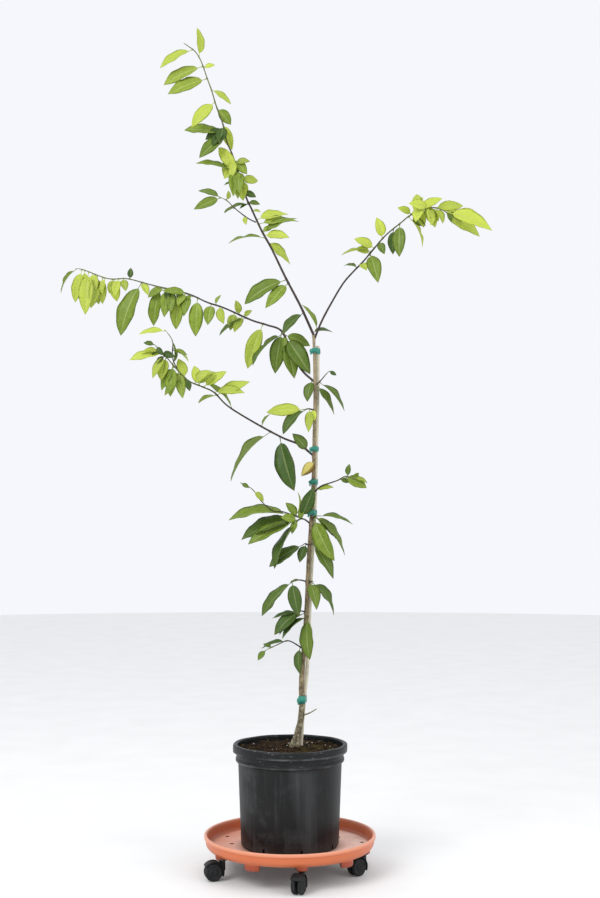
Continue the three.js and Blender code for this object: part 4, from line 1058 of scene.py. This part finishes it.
def caster_wheel():
    """Two wheel discs on their axle. Each is a turned outline of (radius, height, softening): a tread with
    rounded shoulders, a rim, a dished face and a raised hub cap."""
    inner, outer, radius = WHEEL.inner, WHEEL.outer, WHEEL.radius
    outline = [
        (0, inner, 0), (radius - 2, inner, 1.5), (radius, inner + 1.6, 1.5), (radius, outer - 2.2, 1.5),
        (radius - 1.8, outer, 1.5), (radius - 4.6, outer, 0.6), (radius - 5.6, outer - 1.3, 0.6),
        (WHEEL.cap, outer - 1.6, 0.6), (WHEEL.cap - 1, outer - 0.2, 0.8), (WHEEL.dimple, outer - 0.2, 0.4),
        (WHEEL.dimple - 0.4, outer - 1, 0.4), (0, outer - 1, 0),
    ]
    disc = turned(rounded(outline), 56)
    far = moved(tipped(disc), 0, (FORK.trail, 0, radius))
    near = moved(far, 180, (2 * FORK.trail, 0, 0))
    rod = rod_shape(0, 0, -inner - 1, inner + 1, WHEEL.axle, segments=24)
    axle = moved(tipped(rod), 0, (FORK.trail, 0, radius))
    return joined([far, near, axle])


# Finishes.


def linear(code):
    """An sRGB hex colour as linear red, green, blue and alpha."""
    channels = [int(code[i : i + 2], 16) / 255 for i in (1, 3, 5)]
    return tuple(c / 12.92 if c <= 0.04045 else ((c + 0.055) / 1.055) ** 2.4 for c in channels) + (1.0,)


def add(tree, kind, inputs=(), out=0, **settings):
    """Adds a node with its settings and links, and gives back one of its outputs, or all of them where out
    is None. inputs has a value or another node's output for each socket, in order or by its number or
    name."""
    node = tree.nodes.new("ShaderNode" + kind)
    for key, value in settings.items():
        setattr(node, key, value)
    for key, value in inputs.items() if isinstance(inputs, dict) else enumerate(inputs):
        if isinstance(value, bpy.types.NodeSocket):
            tree.links.new(value, node.inputs[key])
        else:
            node.inputs[key].default_value = value
    return node.outputs if out is None else node.outputs[out]


def new_material(name):
    """An empty node material, its tree and its coordinates about the pot's axis, in metres."""
    material = bpy.data.materials.new(name)
    material.use_nodes = True
    tree = material.node_tree
    tree.nodes.clear()
    own = add(tree, "TexCoord", out="Object")
    return material, tree, add(tree, "Mapping", {"Vector": own, "Location": tuple(-AXIS)})


def product(tree, masks):
    """The product of masks. A mask is an output, or an output with the range that it runs over and, where
    they aren't 0 and 1, its values at the range's two ends."""
    parts = [add(tree, "MapRange", mask) if isinstance(mask, tuple) else mask for mask in masks]
    whole = parts[0]
    for part in parts[1:]:
        whole = add(tree, "Math", [whole, part], operation="MULTIPLY")
    return whole


def layered(tree, colour, layers):
    """A colour with others laid over it in order, each as much as the product of its masks says."""
    for over, *masks in layers:
        over = linear(over) if isinstance(over, str) else over
        colour = add(tree, "Mix", {0: product(tree, masks), 6: colour, 7: over}, 2, data_type="RGBA")
    return colour


def finished(material, colour, relief=None, **settings):
    """Ends a material with its shader. relief is the height's output, its strength and its depth in metres,
    and settings are the shader's other sockets, with _ for a space in a socket's name."""
    tree = material.node_tree
    inputs = {"Base Color": colour} | {key.replace("_", " "): value for key, value in settings.items()}
    if relief:
        inputs["Normal"] = add(tree, "Bump", dict(zip(("Height", "Strength", "Distance"), relief)))
    add(tree, "OutputMaterial", [add(tree, "BsdfPrincipled", inputs)], None)
    return material


def foliage_material(name, ages, translucent, brown):
    """Custard apple leaf, grown: soft waxy blades, lime and see-through when young, dark and leathery when
    old. The eye gets a pale midrib, slanting side veins about 7 mm apart, a matt pale underside and mottled
    green."""
    material, tree, centred = new_material(name)
    (side, along, length), (age, tint, upper) = (
        add(tree, "SeparateXYZ", [add(tree, "Attribute", out="Vector", attribute_name=key)], None)
        for key in ("leaf", "tone")
    )
    across = add(tree, "Math", [side], operation="ABSOLUTE")
    mottle = add(tree, "TexNoise", {"Vector": centred, "Scale": 95, "Detail": 3})
    # Side veins are stripes in 14·length·s - 1.7·|t|, with the length in tenths of a metre, so they slant
    # towards the tip.
    run = add(tree, "Math", [along, length], operation="MULTIPLY")
    run = add(tree, "Math", [run, 14], operation="MULTIPLY")
    run = add(tree, "Math", [across, -1.7, run], operation="MULTIPLY_ADD")
    stripe = add(tree, "Math", [run, 0.5], operation="PINGPONG")
    vein = product(tree, [(stripe, 0, 0.1, 0.45, 0), (across, 0.55, 0.95, 1, 0)])
    midrib = add(tree, "MapRange", (across, 0.02, 0.11, 1, 0))
    lines = add(tree, "Math", [midrib, vein], operation="MAXIMUM")
    edge = add(tree, "MapRange", (across, 0.75, 1, 0, 0.5))
    rim = add(tree, "Math", [edge, add(tree, "MapRange", (along, 0.9, 1))], operation="ADD")
    young, mature, old = ages
    layers = [
        (mature, (age, 0, 0.45)),
        (old, (age, 0.45, 1)),
        # Pale mottling, and a darker tint of the leaf's own.
        ("#dfe27a", (mottle, 0.3, 0.7, 0, 0.3), (age, 0.2, 0.9, 1, 0.12)),
        ("#4c6626", (age, 0, 0.6, 0.12, 0.4), tint),
        # Midrib and veins, then the underside.
        ("#dce3a2", lines, (age, 0.3, 1, 0.42, 0.17)),
        ("#a9ba80", (upper, 0, 1, 0.22, 0)),
        # Dry brown at the tips and along the edges of the oldest blades.
        ("#8a6a35", rim, (age, 0.7, 1, brown, 0.7), (mottle, 0.42, 0.62)),
    ]
    if brown == 1:
        # A dying blade has withered brown along one half.
        layers.append(("#6b4314", (side, -0.1, -0.55, 0, 0.9)))
    green = layered(tree, young, layers)
    relief = add(tree, "Math", [lines, -0.7, mottle], operation="MULTIPLY_ADD")
    bump = add(tree, "Bump", {"Height": relief, "Strength": 0.5, "Distance": 0.0006})
    rough = add(tree, "MapRange", (upper, 0, 1, 0.7, 0.42))
    blade = add(tree, "BsdfPrincipled", {
        "Base Color": green, "Roughness": rough, "Normal": bump, "IOR": 1.45, "Specular IOR Level": 0.3,
    })
    glow = add(tree, "Mix", {0: 0.5, 6: green, 7: linear("#dcec38")}, 2, data_type="RGBA")
    through = add(tree, "BsdfTranslucent", {"Color": glow, "Normal": bump})
    share = add(tree, "MapRange", (age, 0, 1, translucent, translucent * 0.14))
    add(tree, "OutputMaterial", [add(tree, "MixShader", [share, blade, through])], None)
    return material


def bark_material(name, low, high, dark):
    """Bark of a young grafted tree, grown: grey-olive and scarred on the rootstock, brown and smoother
    above the graft. The eye gets blotches about 4 mm wide, stretched along the stem, and fine cracks."""
    material, tree, centred = new_material(name)
    stretched = add(tree, "Mapping", {"Vector": centred, "Scale": (1, 1, 0.3)})
    height = add(tree, "SeparateXYZ", [centred], 2)
    blotch = add(tree, "TexNoise", {"Vector": stretched, "Scale": 260, "Detail": 5, "Roughness": 0.65})
    scar = add(tree, "TexNoise", {"Vector": centred, "Scale": 120, "Detail": 4})
    above = add(tree, "MapRange", [height, 0.33, 0.47], interpolation_type="SMOOTHSTEP")
    colour = layered(tree, low, [
        (high, above),
        (dark, (blotch, 0.44, 0.6, 0, 0.85)),
        # Lichen, thickest on the rootstock, and paler bark high up.
        ("#b8b594", (scar, 0.52, 0.68, 0, 0.7), (above, 0, 1, 1, 0.35)),
        ("#a8987a", (height, 0.85, 1.1, 0, 0.45)),
    ])
    return finished(material, colour, (blotch, 0.8, 0.0012), Roughness=0.85, IOR=1.5)


def twig_material(name, base, tip):
    """Young custard apple twig, grown: dark brown bark with pale pores about 2 mm apart, turning olive
    green where it is still soft."""
    material, tree, centred = new_material(name)
    grown = add(tree, "SeparateXYZ", [add(tree, "Attribute", out="Vector", attribute_name="stem")])
    pores = add(tree, "TexVoronoi", {"Vector": centred, "Scale": 480}, "Distance")
    bark = add(tree, "TexNoise", {"Vector": centred, "Scale": 300, "Detail": 3})
    colour = layered(tree, base, [
        (tip, add(tree, "MapRange", [grown, 0.45, 1], interpolation_type="SMOOTHSTEP")),
        ("#9a8a72", (pores, 0.1, 0.3, 0.5, 0)),
        ("#171210", (bark, 0.35, 0.7, 0, 0.5)),
    ])
    return finished(material, colour, (pores, 0.4, 0.0005), Roughness=0.68, IOR=1.5)


def cane_material(name, pale, streak):
    """Bamboo cane, weathered: pale straw with grey stains. Its lengthwise fibres are a third of a
    millimetre wide, and are drawn a little under 1 mm wide so that they show."""
    material, tree, centred = new_material(name)
    turn = add(tree, "Attribute", out="Vector", attribute_name="stem")
    along = add(tree, "Mapping", {"Vector": turn, "Scale": (9, 2.2, 2.2)})
    fibre = add(tree, "TexNoise", {"Vector": along, "Scale": 2.4, "Detail": 5, "Roughness": 0.7})
    stain = add(tree, "TexNoise", {"Vector": centred, "Scale": 28, "Detail": 4})
    colour = layered(tree, pale, [
        (streak, (fibre, 0.4, 0.66, 0, 0.8)),
        ("#8d8572", (stain, 0.5, 0.72, 0, 0.6)),
    ])
    return finished(material, colour, (fibre, 0.5, 0.0005), Roughness=0.6, IOR=1.5)


def tape_material(name, green):
    """Nursery stretch tape, blown PVC film: a teal green that turns paler where it is pulled thin, with a
    soft gloss and fine creases about 2 mm apart."""
    material, tree, centred = new_material(name)
    crease = add(tree, "TexNoise", {"Vector": centred, "Scale": 420, "Detail": 3})
    colour = layered(tree, green, [("#35a18b", (crease, 0.4, 0.7, 0, 0.55))])
    return finished(material, colour, (crease, 0.5, 0.0006), Roughness=0.35, IOR=1.53)


def pot_material(name, black, dust):
    """Black HDPE, injection-moulded and weathered: satin, with dried water marks that run down it, a bloom
    of pale dust on the body, painted heavier on the left as painted light, scuffs on the lip, painted
    highlights along the lip's lower edge and the bead, and soil splashed at its foot."""
    material, tree, centred = new_material(name)
    across, _, height = add(tree, "SeparateXYZ", [centred], None)
    runs = add(tree, "Mapping", {"Vector": centred, "Scale": (1, 1, 0.07)})
    rub = add(tree, "Mapping", {"Vector": centred, "Scale": (1, 1, 3.5)})
    wide = add(tree, "TexNoise", {"Vector": runs, "Scale": 24, "Detail": 3})
    fine = add(tree, "TexNoise", {"Vector": runs, "Scale": 130, "Detail": 3})
    cloud = add(tree, "TexNoise", {"Vector": centred, "Scale": 16, "Detail": 6, "Roughness": 0.6})
    scuff = add(tree, "TexNoise", {"Vector": rub, "Scale": 70, "Detail": 5, "Roughness": 0.75})
    dusty = add(tree, "MapRange", (wide, 0.5, 0.72, 0, 0.6))
    for mask in ((fine, 0.52, 0.74, 0, 0.2), (cloud, 0.48, 0.74, 0, 0.45)):
        dusty = add(tree, "Math", [dusty, add(tree, "MapRange", mask)], operation="ADD", use_clamp=True)
    # The dust stays below the lip, and it is painted heavier on the left as painted light from the left.
    dusty = product(tree, [dusty, (height, 0.262, 0.235, 0.03, 1), (across, -0.11, 0.09, 1.4, 0.4)])
    layers = [
        (dust, dusty),
        ("#3a3029", (height, 0.06, 0.085, 0.4, 0), cloud),
        ("#8d9290", (scuff, 0.6, 0.68, 0, 0.4), (height, 0.243, 0.25)),
    ]
    # Painted highlights along the lip's lower edge and the bead, grey in places.
    for ring in (POT.top - POT.lip_depth + 1.5, POT.top - POT.bead_depth + 0.5):
        away = add(tree, "Math", [height, ring * MM], operation="SUBTRACT")
        away = add(tree, "Math", [away], operation="ABSOLUTE")
        layers.append(("#666b6b", (away, 0.0008, 0.0032, 0.55, 0), (cloud, 0.4, 0.6)))
    colour = layered(tree, black, layers)
    rough = add(tree, "MapRange", (dusty, 0, 1, 0.44, 0.68))
    relief = (fine, 0.12, 0.0008)
    return finished(material, colour, relief, Roughness=rough, IOR=1.54, Specular_IOR_Level=0.24)


def soil_material(name, dark, light):
    """Potting mix of bark fines and peat, damp: brown crumbs about 3 mm across, paler where dry, with a
    film of green algae on the right."""
    material, tree, centred = new_material(name)
    crumb = add(tree, "TexVoronoi", {"Vector": centred, "Scale": 330}, None)
    patch = add(tree, "TexNoise", {"Vector": centred, "Scale": 40, "Detail": 5, "Roughness": 0.7})
    level = add(tree, "Mapping", {"Vector": centred, "Scale": (1, 1, 0)})
    reach = add(tree, "VectorMath", [level], "Value", operation="LENGTH")
    dry = product(tree, [add(tree, "SeparateXYZ", [crumb["Color"]]), patch])
    colour = layered(tree, dark, [
        (light, (dry, 0.1, 0.6)),
        ("#4c4a1e", (patch, 0.42, 0.6), (add(tree, "SeparateXYZ", [centred]), 0, 0.09, 0, 0.7)),
        # Painted shade towards the pot's wall.
        (dark, (reach, 0.06, 0.112, 0, 0.85)),
    ])
    relief = (crumb["Distance"], 0.9, 0.0015)
    return finished(material, colour, relief, Roughness=0.95, IOR=1.4, Specular_IOR_Level=0.12)


def grain_material(name, dark, light):
    """Loose grains on the soil, broken: each has one tone of its own between dark and light."""
    material, tree, centred = new_material(name)
    tone = add(tree, "SeparateXYZ", [add(tree, "Attribute", out="Vector", attribute_name="tone")])
    speck = add(tree, "TexNoise", {"Vector": centred, "Scale": 600})
    colour = layered(tree, dark, [(light, (product(tree, [tone, speck]), 0.05, 0.5))])
    return finished(material, colour, (speck, 0.5, 0.0006), Roughness=0.9, IOR=1.5, Specular_IOR_Level=0.15)


def caddy_material(name, clay, dust):
    """Terracotta-coloured polypropylene, injection-moulded: a satin orange that pales with dust on the
    dish's floor, painted heavier on the right as painted light, soil tracked round the pot and light scuffs,
    with a painted highlight on the lip and painted shade at the foot of the wall, in the drain holes and
    under the dish."""
    material, tree, centred = new_material(name)
    across, _, height = add(tree, "SeparateXYZ", [centred], None)
    facing = add(tree, "SeparateXYZ", [add(tree, "NewGeometry", out="Normal")], 2)
    flat = add(tree, "MapRange", (facing, 0.8, 0.98))
    level = add(tree, "Mapping", {"Vector": centred, "Scale": (1, 1, 0)})
    reach = add(tree, "VectorMath", [level], "Value", operation="LENGTH")
    cloud = add(tree, "TexNoise", {"Vector": centred, "Scale": 22, "Detail": 6, "Roughness": 0.62})
    speck = add(tree, "TexNoise", {"Vector": centred, "Scale": 240})
    # Dust on the dish's floor, painted heavier on the right as painted light from the right.
    dust_and_side_light = product(tree, [
        flat, (height, 0.062, 0.07, 1, 0.4), (across, -0.16, 0.06, 0.38, 1), (cloud, 0.25, 0.65, 0.5, 0.95),
    ])
    colour = layered(tree, clay, [
        (dust, dust_and_side_light),
        # Soil tracked round the pot's foot, and shade in the bend at the foot of the wall.
        ("#4a3427", (reach, 0.112, 0.13, 0.75, 0), flat, cloud),
        ("#9c4f2f", (reach, 0.1845, 0.187, 0.3, 0), (height, 0.0585, 0.063)),
        # Painted highlight on the lip, and painted shade in a deeper red at the foot of the wall and on what
        # hangs under the dish.
        ("#eaad90", (height, 0.076, 0.083, 0, 0.5)),
        ("#a8532f", (height, 0.06, 0.073, 1, 0), (reach, 0.179, 0.181, 0, 0.3)),
        ("#9a3416", (height, 0.0545, 0.0552, 0.8, 0)),
        # Painted shade inside the drain holes, under the dish's floor and on what hangs under the dish, and
        # specks of dirt.
        ("#5c3525", (height, 0.0576, 0.0579, 1, 0), (reach, 0.178, 0.18, 1, 0)),
        ("#54301f", (height, 0.044, 0.056, 0.75, 0), cloud),
        ("#6d4a38", (speck, 0.64, 0.7, 0, 0.4), flat),
    ])
    rough = add(tree, "MapRange", (dust_and_side_light, 0, 0.8, 0.38, 0.75))
    return finished(material, colour, (speck, 0.08, 0.0004), Roughness=rough, IOR=1.49)


def caster_material(name, black, grey, roughness):
    """Black nylon, injection-moulded: satin, greyed by road dust in cloudy patches."""
    material, tree, centred = new_material(name)
    cloud = add(tree, "TexNoise", {"Vector": centred, "Scale": 90, "Detail": 5, "Roughness": 0.65})
    dusty = add(tree, "MapRange", (cloud, 0.4, 0.7, 0.05, 0.7))
    rough = add(tree, "MapRange", (dusty, 0, 0.7, roughness, 0.8))
    colour = layered(tree, black, [(grey, dusty)])
    relief = (cloud, 0.1, 0.0005)
    return finished(material, colour, relief, Roughness=rough, IOR=1.53, Specular_IOR_Level=0.25)


def floor_material(name, pale):
    """Matt white studio board, painted: almost one tone, with a faint unevenness a hand wide."""
    material, tree, centred = new_material(name)
    uneven = add(tree, "TexNoise", {"Vector": centred, "Scale": 6})
    colour = layered(tree, pale, [("#cfcecb", (uneven, 0.3, 0.7, 0, 0.12))])
    return finished(material, colour, Roughness=0.9)


# Stage and settings.


def floor_shape():
    """A flat round floor, 9 metres out, as one many-sided face."""
    reach, sides = 9000, 96
    angles = circle(sides)
    return reach * stacked(np.cos(angles), np.sin(angles), 0), [np.arange(sides)[None]], {}


def shade(name, text, code):
    """A colour setting whose default is an sRGB hex colour."""
    return bpy.props.FloatVectorProperty(
        name=name, description=text, subtype="COLOR", size=4, min=0.0, max=1.0, default=linear(code)
    )


def amount(name, text, default, **limits):
    """A number setting: whole where its default is."""
    kind = bpy.props.IntProperty if isinstance(default, int) else bpy.props.FloatProperty
    return kind(name=name, description=text, default=default, min=0, **limits)


class FoliageSettings(bpy.types.PropertyGroup):
    young: shade("Young leaf", "Colour of a soft new leaf", "#e2ec6c")
    mature: shade("Mature leaf", "Colour of a grown leaf", "#819c2f")
    old: shade("Old leaf", "Colour of a leathery old leaf", "#2a4a14")
    thickness: amount("Blade thickness", "Thickness of a leaf blade", 0.00045, unit="LENGTH")
    see_through: amount("See-through", "Share of light through a young leaf", 0.5, subtype="FACTOR", max=1)


class WoodSettings(bpy.types.PropertyGroup):
    rootstock: shade("Rootstock", "Colour of the bark below the graft", "#746c54")
    trunk: shade("Trunk", "Colour of the bark above the graft", "#867657")
    twig: shade("Twig", "Colour of a branch at its base", "#332620")
    twig_tip: shade("Twig tip", "Colour of a branch at its soft tip", "#6d7a36")
    cane: shade("Cane", "Colour of the support cane", "#d8d0b8")
    tape: shade("Tape", "Colour of the ties", "#0d7362")


class PotSettings(bpy.types.PropertyGroup):
    plastic: shade("Pot", "Colour of the pot's plastic", "#0b0c0d")
    dust: shade("Dust", "Colour of the dust on the pot", "#474a4b")
    soil: shade("Soil", "Colour of damp soil", "#120c07")
    dry_soil: shade("Dry soil", "Colour of dry soil", "#44331f")
    chips: amount("Bark chips", "Number of loose bark chips", 460)
    perlite: amount("Perlite", "Number of white grains", 28)


class CaddySettings(bpy.types.PropertyGroup):
    dish: shade("Dish", "Colour of the caddy's plastic", "#cb6b3f")
    dust: shade("Dust", "Colour of the dust on its floor", "#ffdccc")
    caster: shade("Caster", "Colour of forks and wheels", "#0b0c0d")


class StudioSettings(bpy.types.PropertyGroup):
    backdrop: shade("Surroundings", "Colour of the light all round", "#f4f6fb")
    brightness: amount("Brightness", "Strength of the light all round", 1.01)
    key: amount("Key light", "Power of the large soft lamp", 84.0, unit="POWER")
    lens: amount("Lens", "Focal length", 49.99, unit="CAMERA")


# Operators.


class CUSTARD_OT_studio(bpy.types.Operator):
    """Sets up the camera, the pale floor and the soft light"""

    bl_idname = "custard.studio"
    bl_label = "Studio"

    def execute(self, context):
        settings = context.scene.custard_studio
        camera = placed("camera", bpy.data.cameras.new("camera"))
        camera.data.sensor_width = 36.0
        camera.data.lens = settings.lens
        camera.data.clip_end = 100.0
        camera.location = AXIS + np.array(CAMERA_PLACE) * MM
        camera.rotation_euler = (math.radians(90 + CAMERA_PITCH), 0, 0)
        context.scene.camera = camera

        floor = placed("floor", mesh_of("floor", floor_shape()))
        floor.data.materials.append(floor_material("studio_board_painted", linear("#f0f0ee")))

        world = bpy.data.worlds.new("surroundings")
        world.use_nodes = True
        surround = world.node_tree.nodes["Background"]
        surround.inputs["Color"].default_value = settings.backdrop
        surround.inputs["Strength"].default_value = settings.brightness
        context.scene.world = world
        context.scene.view_settings.view_transform = "Standard"

        for name, place, aim, size, share in LAMPS:
            lamp = placed(name, bpy.data.lights.new(name, "AREA"))
            lamp.data.shape = "DISK"
            lamp.data.size = size
            lamp.data.energy = settings.key * share
            lamp.location = AXIS + np.array(place)
            toward = Vector(AXIS + np.array(aim)) - lamp.location
            lamp.rotation_euler = toward.to_track_quat("-Z", "Y").to_euler()
        return {"FINISHED"}


class CUSTARD_OT_shoots(bpy.types.Operator):
    """Grows the leafy shoots: for each one, its stems and its leaves"""

    bl_idname = "custard.shoots"
    bl_label = "Leafy shoots"

    def execute(self, context):
        foliage, wood = context.scene.custard_foliage, context.scene.custard_wood
        ages = foliage.young, foliage.mature, foliage.old
        dying_ages = [linear(code) for code in ("#fff1a6", "#efcf68", "#9a6a2a")]
        green = foliage_material("leaf_green_grown", ages, translucent=foliage.see_through, brown=0)
        yellow = foliage_material("leaf_dying_grown", dying_ages, translucent=0.4, brown=1)
        bark = twig_material("twig_bark_grown", wood.twig, wood.twig_tip)
        for name, stems, blades in shoots(foliage.thickness / MM):
            finish, slot = (yellow, "yellow_leaf") if name == "yellow_leaf" else (green, "leaf")
            add_piece(name + "_stems", stems, bark, "plant", "bark")
            add_piece(name + "_leaves", blades, finish, "plant", slot, [name])
        return {"FINISHED"}


class CUSTARD_OT_trunk(bpy.types.Operator):
    """Makes the trunk with its root flares and its dead twig"""

    bl_idname = "custard.trunk"
    bl_label = "Trunk"

    def execute(self, context):
        wood = context.scene.custard_wood
        bark = bark_material("bark_grown", wood.rootstock, wood.trunk, linear("#3b2d22"))
        add_piece("trunk_bark", joined([trunk_shape(), twig_shape()]), bark, "plant", "bark", ["trunk"])
        return {"FINISHED"}


class CUSTARD_OT_support(bpy.types.Operator):
    """Makes the cane and the tape ties that hold the trunk to it"""

    bl_idname = "custard.support"
    bl_label = "Cane and ties"

    def execute(self, context):
        wood = context.scene.custard_wood
        bamboo = cane_material("bamboo_split", wood.cane, linear("#b0a68c"))
        add_piece("cane_stick", cane_shape(), bamboo, "plant", "cane", ["cane"], sharp=50)
        film = tape_material("pvc_tape_blown", wood.tape)
        for number, (z, width) in enumerate(TIES, 1):
            tie = f"tie_{number}"
            add_piece(tie + "_tape", tie_shape(z, width, number), film, "plant", "tape", [tie])
        return {"FINISHED"}


class CUSTARD_OT_pot(bpy.types.Operator):
    """Makes the nursery pot, its soil and the loose chips and grains on the soil"""

    bl_idname = "custard.pot"
    bl_label = "Pot and soil"

    def execute(self, context):
        settings = context.scene.custard_pot
        black = pot_material("hdpe_moulded_black", settings.plastic, settings.dust)
        pot = add_piece("pot_wall", pot_shape(), black, "plant", "pot", ["pot"], sharp=40)
        carve(pot, slot_cutters(), sharp=40)
        earth = soil_material("potting_mix_damp", settings.soil, settings.dry_soil)
        add_piece("soil_plug", soil_shape(), earth, "plant", "soil", ["soil"])
        chips = grain_material("bark_chip_broken", linear("#150e08"), linear("#4c3822"))
        shape = scattered(settings.chips, CHIP, seed=71, sink=0.2)
        add_piece("soil_chips", shape, chips, "plant", "soil")
        white = grain_material("perlite_expanded", linear("#9f998d"), linear("#dedad0"))
        shape = scattered(settings.perlite, PERLITE, seed=72, sink=-0.1)
        add_piece("soil_perlite", shape, white, "plant", "soil")
        return {"FINISHED"}


class CUSTARD_OT_caddy(bpy.types.Operator):
    """Makes the caddy's dish and, under it, five casters"""

    bl_idname = "custard.caddy"
    bl_label = "Caddy"

    def execute(self, context):
        settings = context.scene.custard_caddy
        clay = caddy_material("polypropylene_moulded_clay", settings.dish, settings.dust)
        dish = add_piece("caddy_dish", tray_shape(), clay, "plant", "caddy", ["caddy_tray"], sharp=40)
        carve(dish, tray_cutters(), sharp=40)
        add_piece("caddy_bosses", tray_bosses(), clay, "plant", "caddy", sharp=40)
        hood = caster_material("nylon_moulded_black", settings.caster, linear("#292b2c"), 0.42)
        tread = caster_material("nylon_tread_black", settings.caster, linear("#343637"), 0.55)
        for number, (turn, heading) in enumerate(zip(FIFTHS, TRAILS), 1):
            pin = (*polar(SOCKET.radius, SOCKET.angle + turn), 0)
            fork, wheel = (moved(shape, heading - 90, pin) for shape in (caster_fork(), caster_wheel()))
            for kind, part, shape, finish, slot in (
                ("fork", "hood", fork, hood, "caster"), ("wheel", "discs", wheel, tread, "wheel"),
            ):
                node = f"caster_{kind}_{number}"
                add_piece(f"{node}_{part}", shape, finish, f"{slot}_{number}", slot, [node], sharp=35)
        return {"FINISHED"}


class CUSTARD_PT_panel(bpy.types.Panel):
    """Lists the tree's settings and the operators that build it"""

    bl_idname = "CUSTARD_PT_panel"
    bl_label = "Custard apple"
    bl_space_type = "VIEW_3D"
    bl_region_type = "UI"
    bl_category = "Custard apple"

    def draw(self, context):
        for settings_name, (_, operators) in SECTIONS.items():
            column = self.layout.column(align=True)
            settings = getattr(context.scene, settings_name)
            for key in settings.bl_rna.properties.keys():
                if key not in ("rna_type", "name"):
                    column.prop(settings, key)
            for operator in operators:
                column.operator(operator.bl_idname)


# Each group of settings, with the operators that use it, in the order in which they run.
SECTIONS = {
    "custard_studio": (StudioSettings, [CUSTARD_OT_studio]),
    "custard_foliage": (FoliageSettings, [CUSTARD_OT_shoots]),
    "custard_wood": (WoodSettings, [CUSTARD_OT_trunk, CUSTARD_OT_support]),
    "custard_pot": (PotSettings, [CUSTARD_OT_pot]),
    "custard_caddy": (CaddySettings, [CUSTARD_OT_caddy]),
}
OPERATORS = [operator for _, operators in SECTIONS.values() for operator in operators]
CLASSES = [group for group, _ in SECTIONS.values()] + OPERATORS + [CUSTARD_PT_panel]


def register():
    """Makes the settings, the operators and the panel known to Blender."""
    for made in CLASSES:
        bpy.utils.register_class(made)
    for name, (group, _) in SECTIONS.items():
        setattr(bpy.types.Scene, name, bpy.props.PointerProperty(type=group))


def unregister():
    """Takes them away again."""
    for name in SECTIONS:
        delattr(bpy.types.Scene, name)
    for made in reversed(CLASSES):
        bpy.utils.unregister_class(made)


def main():
    """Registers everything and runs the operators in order."""
    register()
    for operator in OPERATORS:
        group, name = operator.bl_idname.split(".")
        getattr(getattr(bpy.ops, group), name)()


if __name__ == "__main__":
    main()
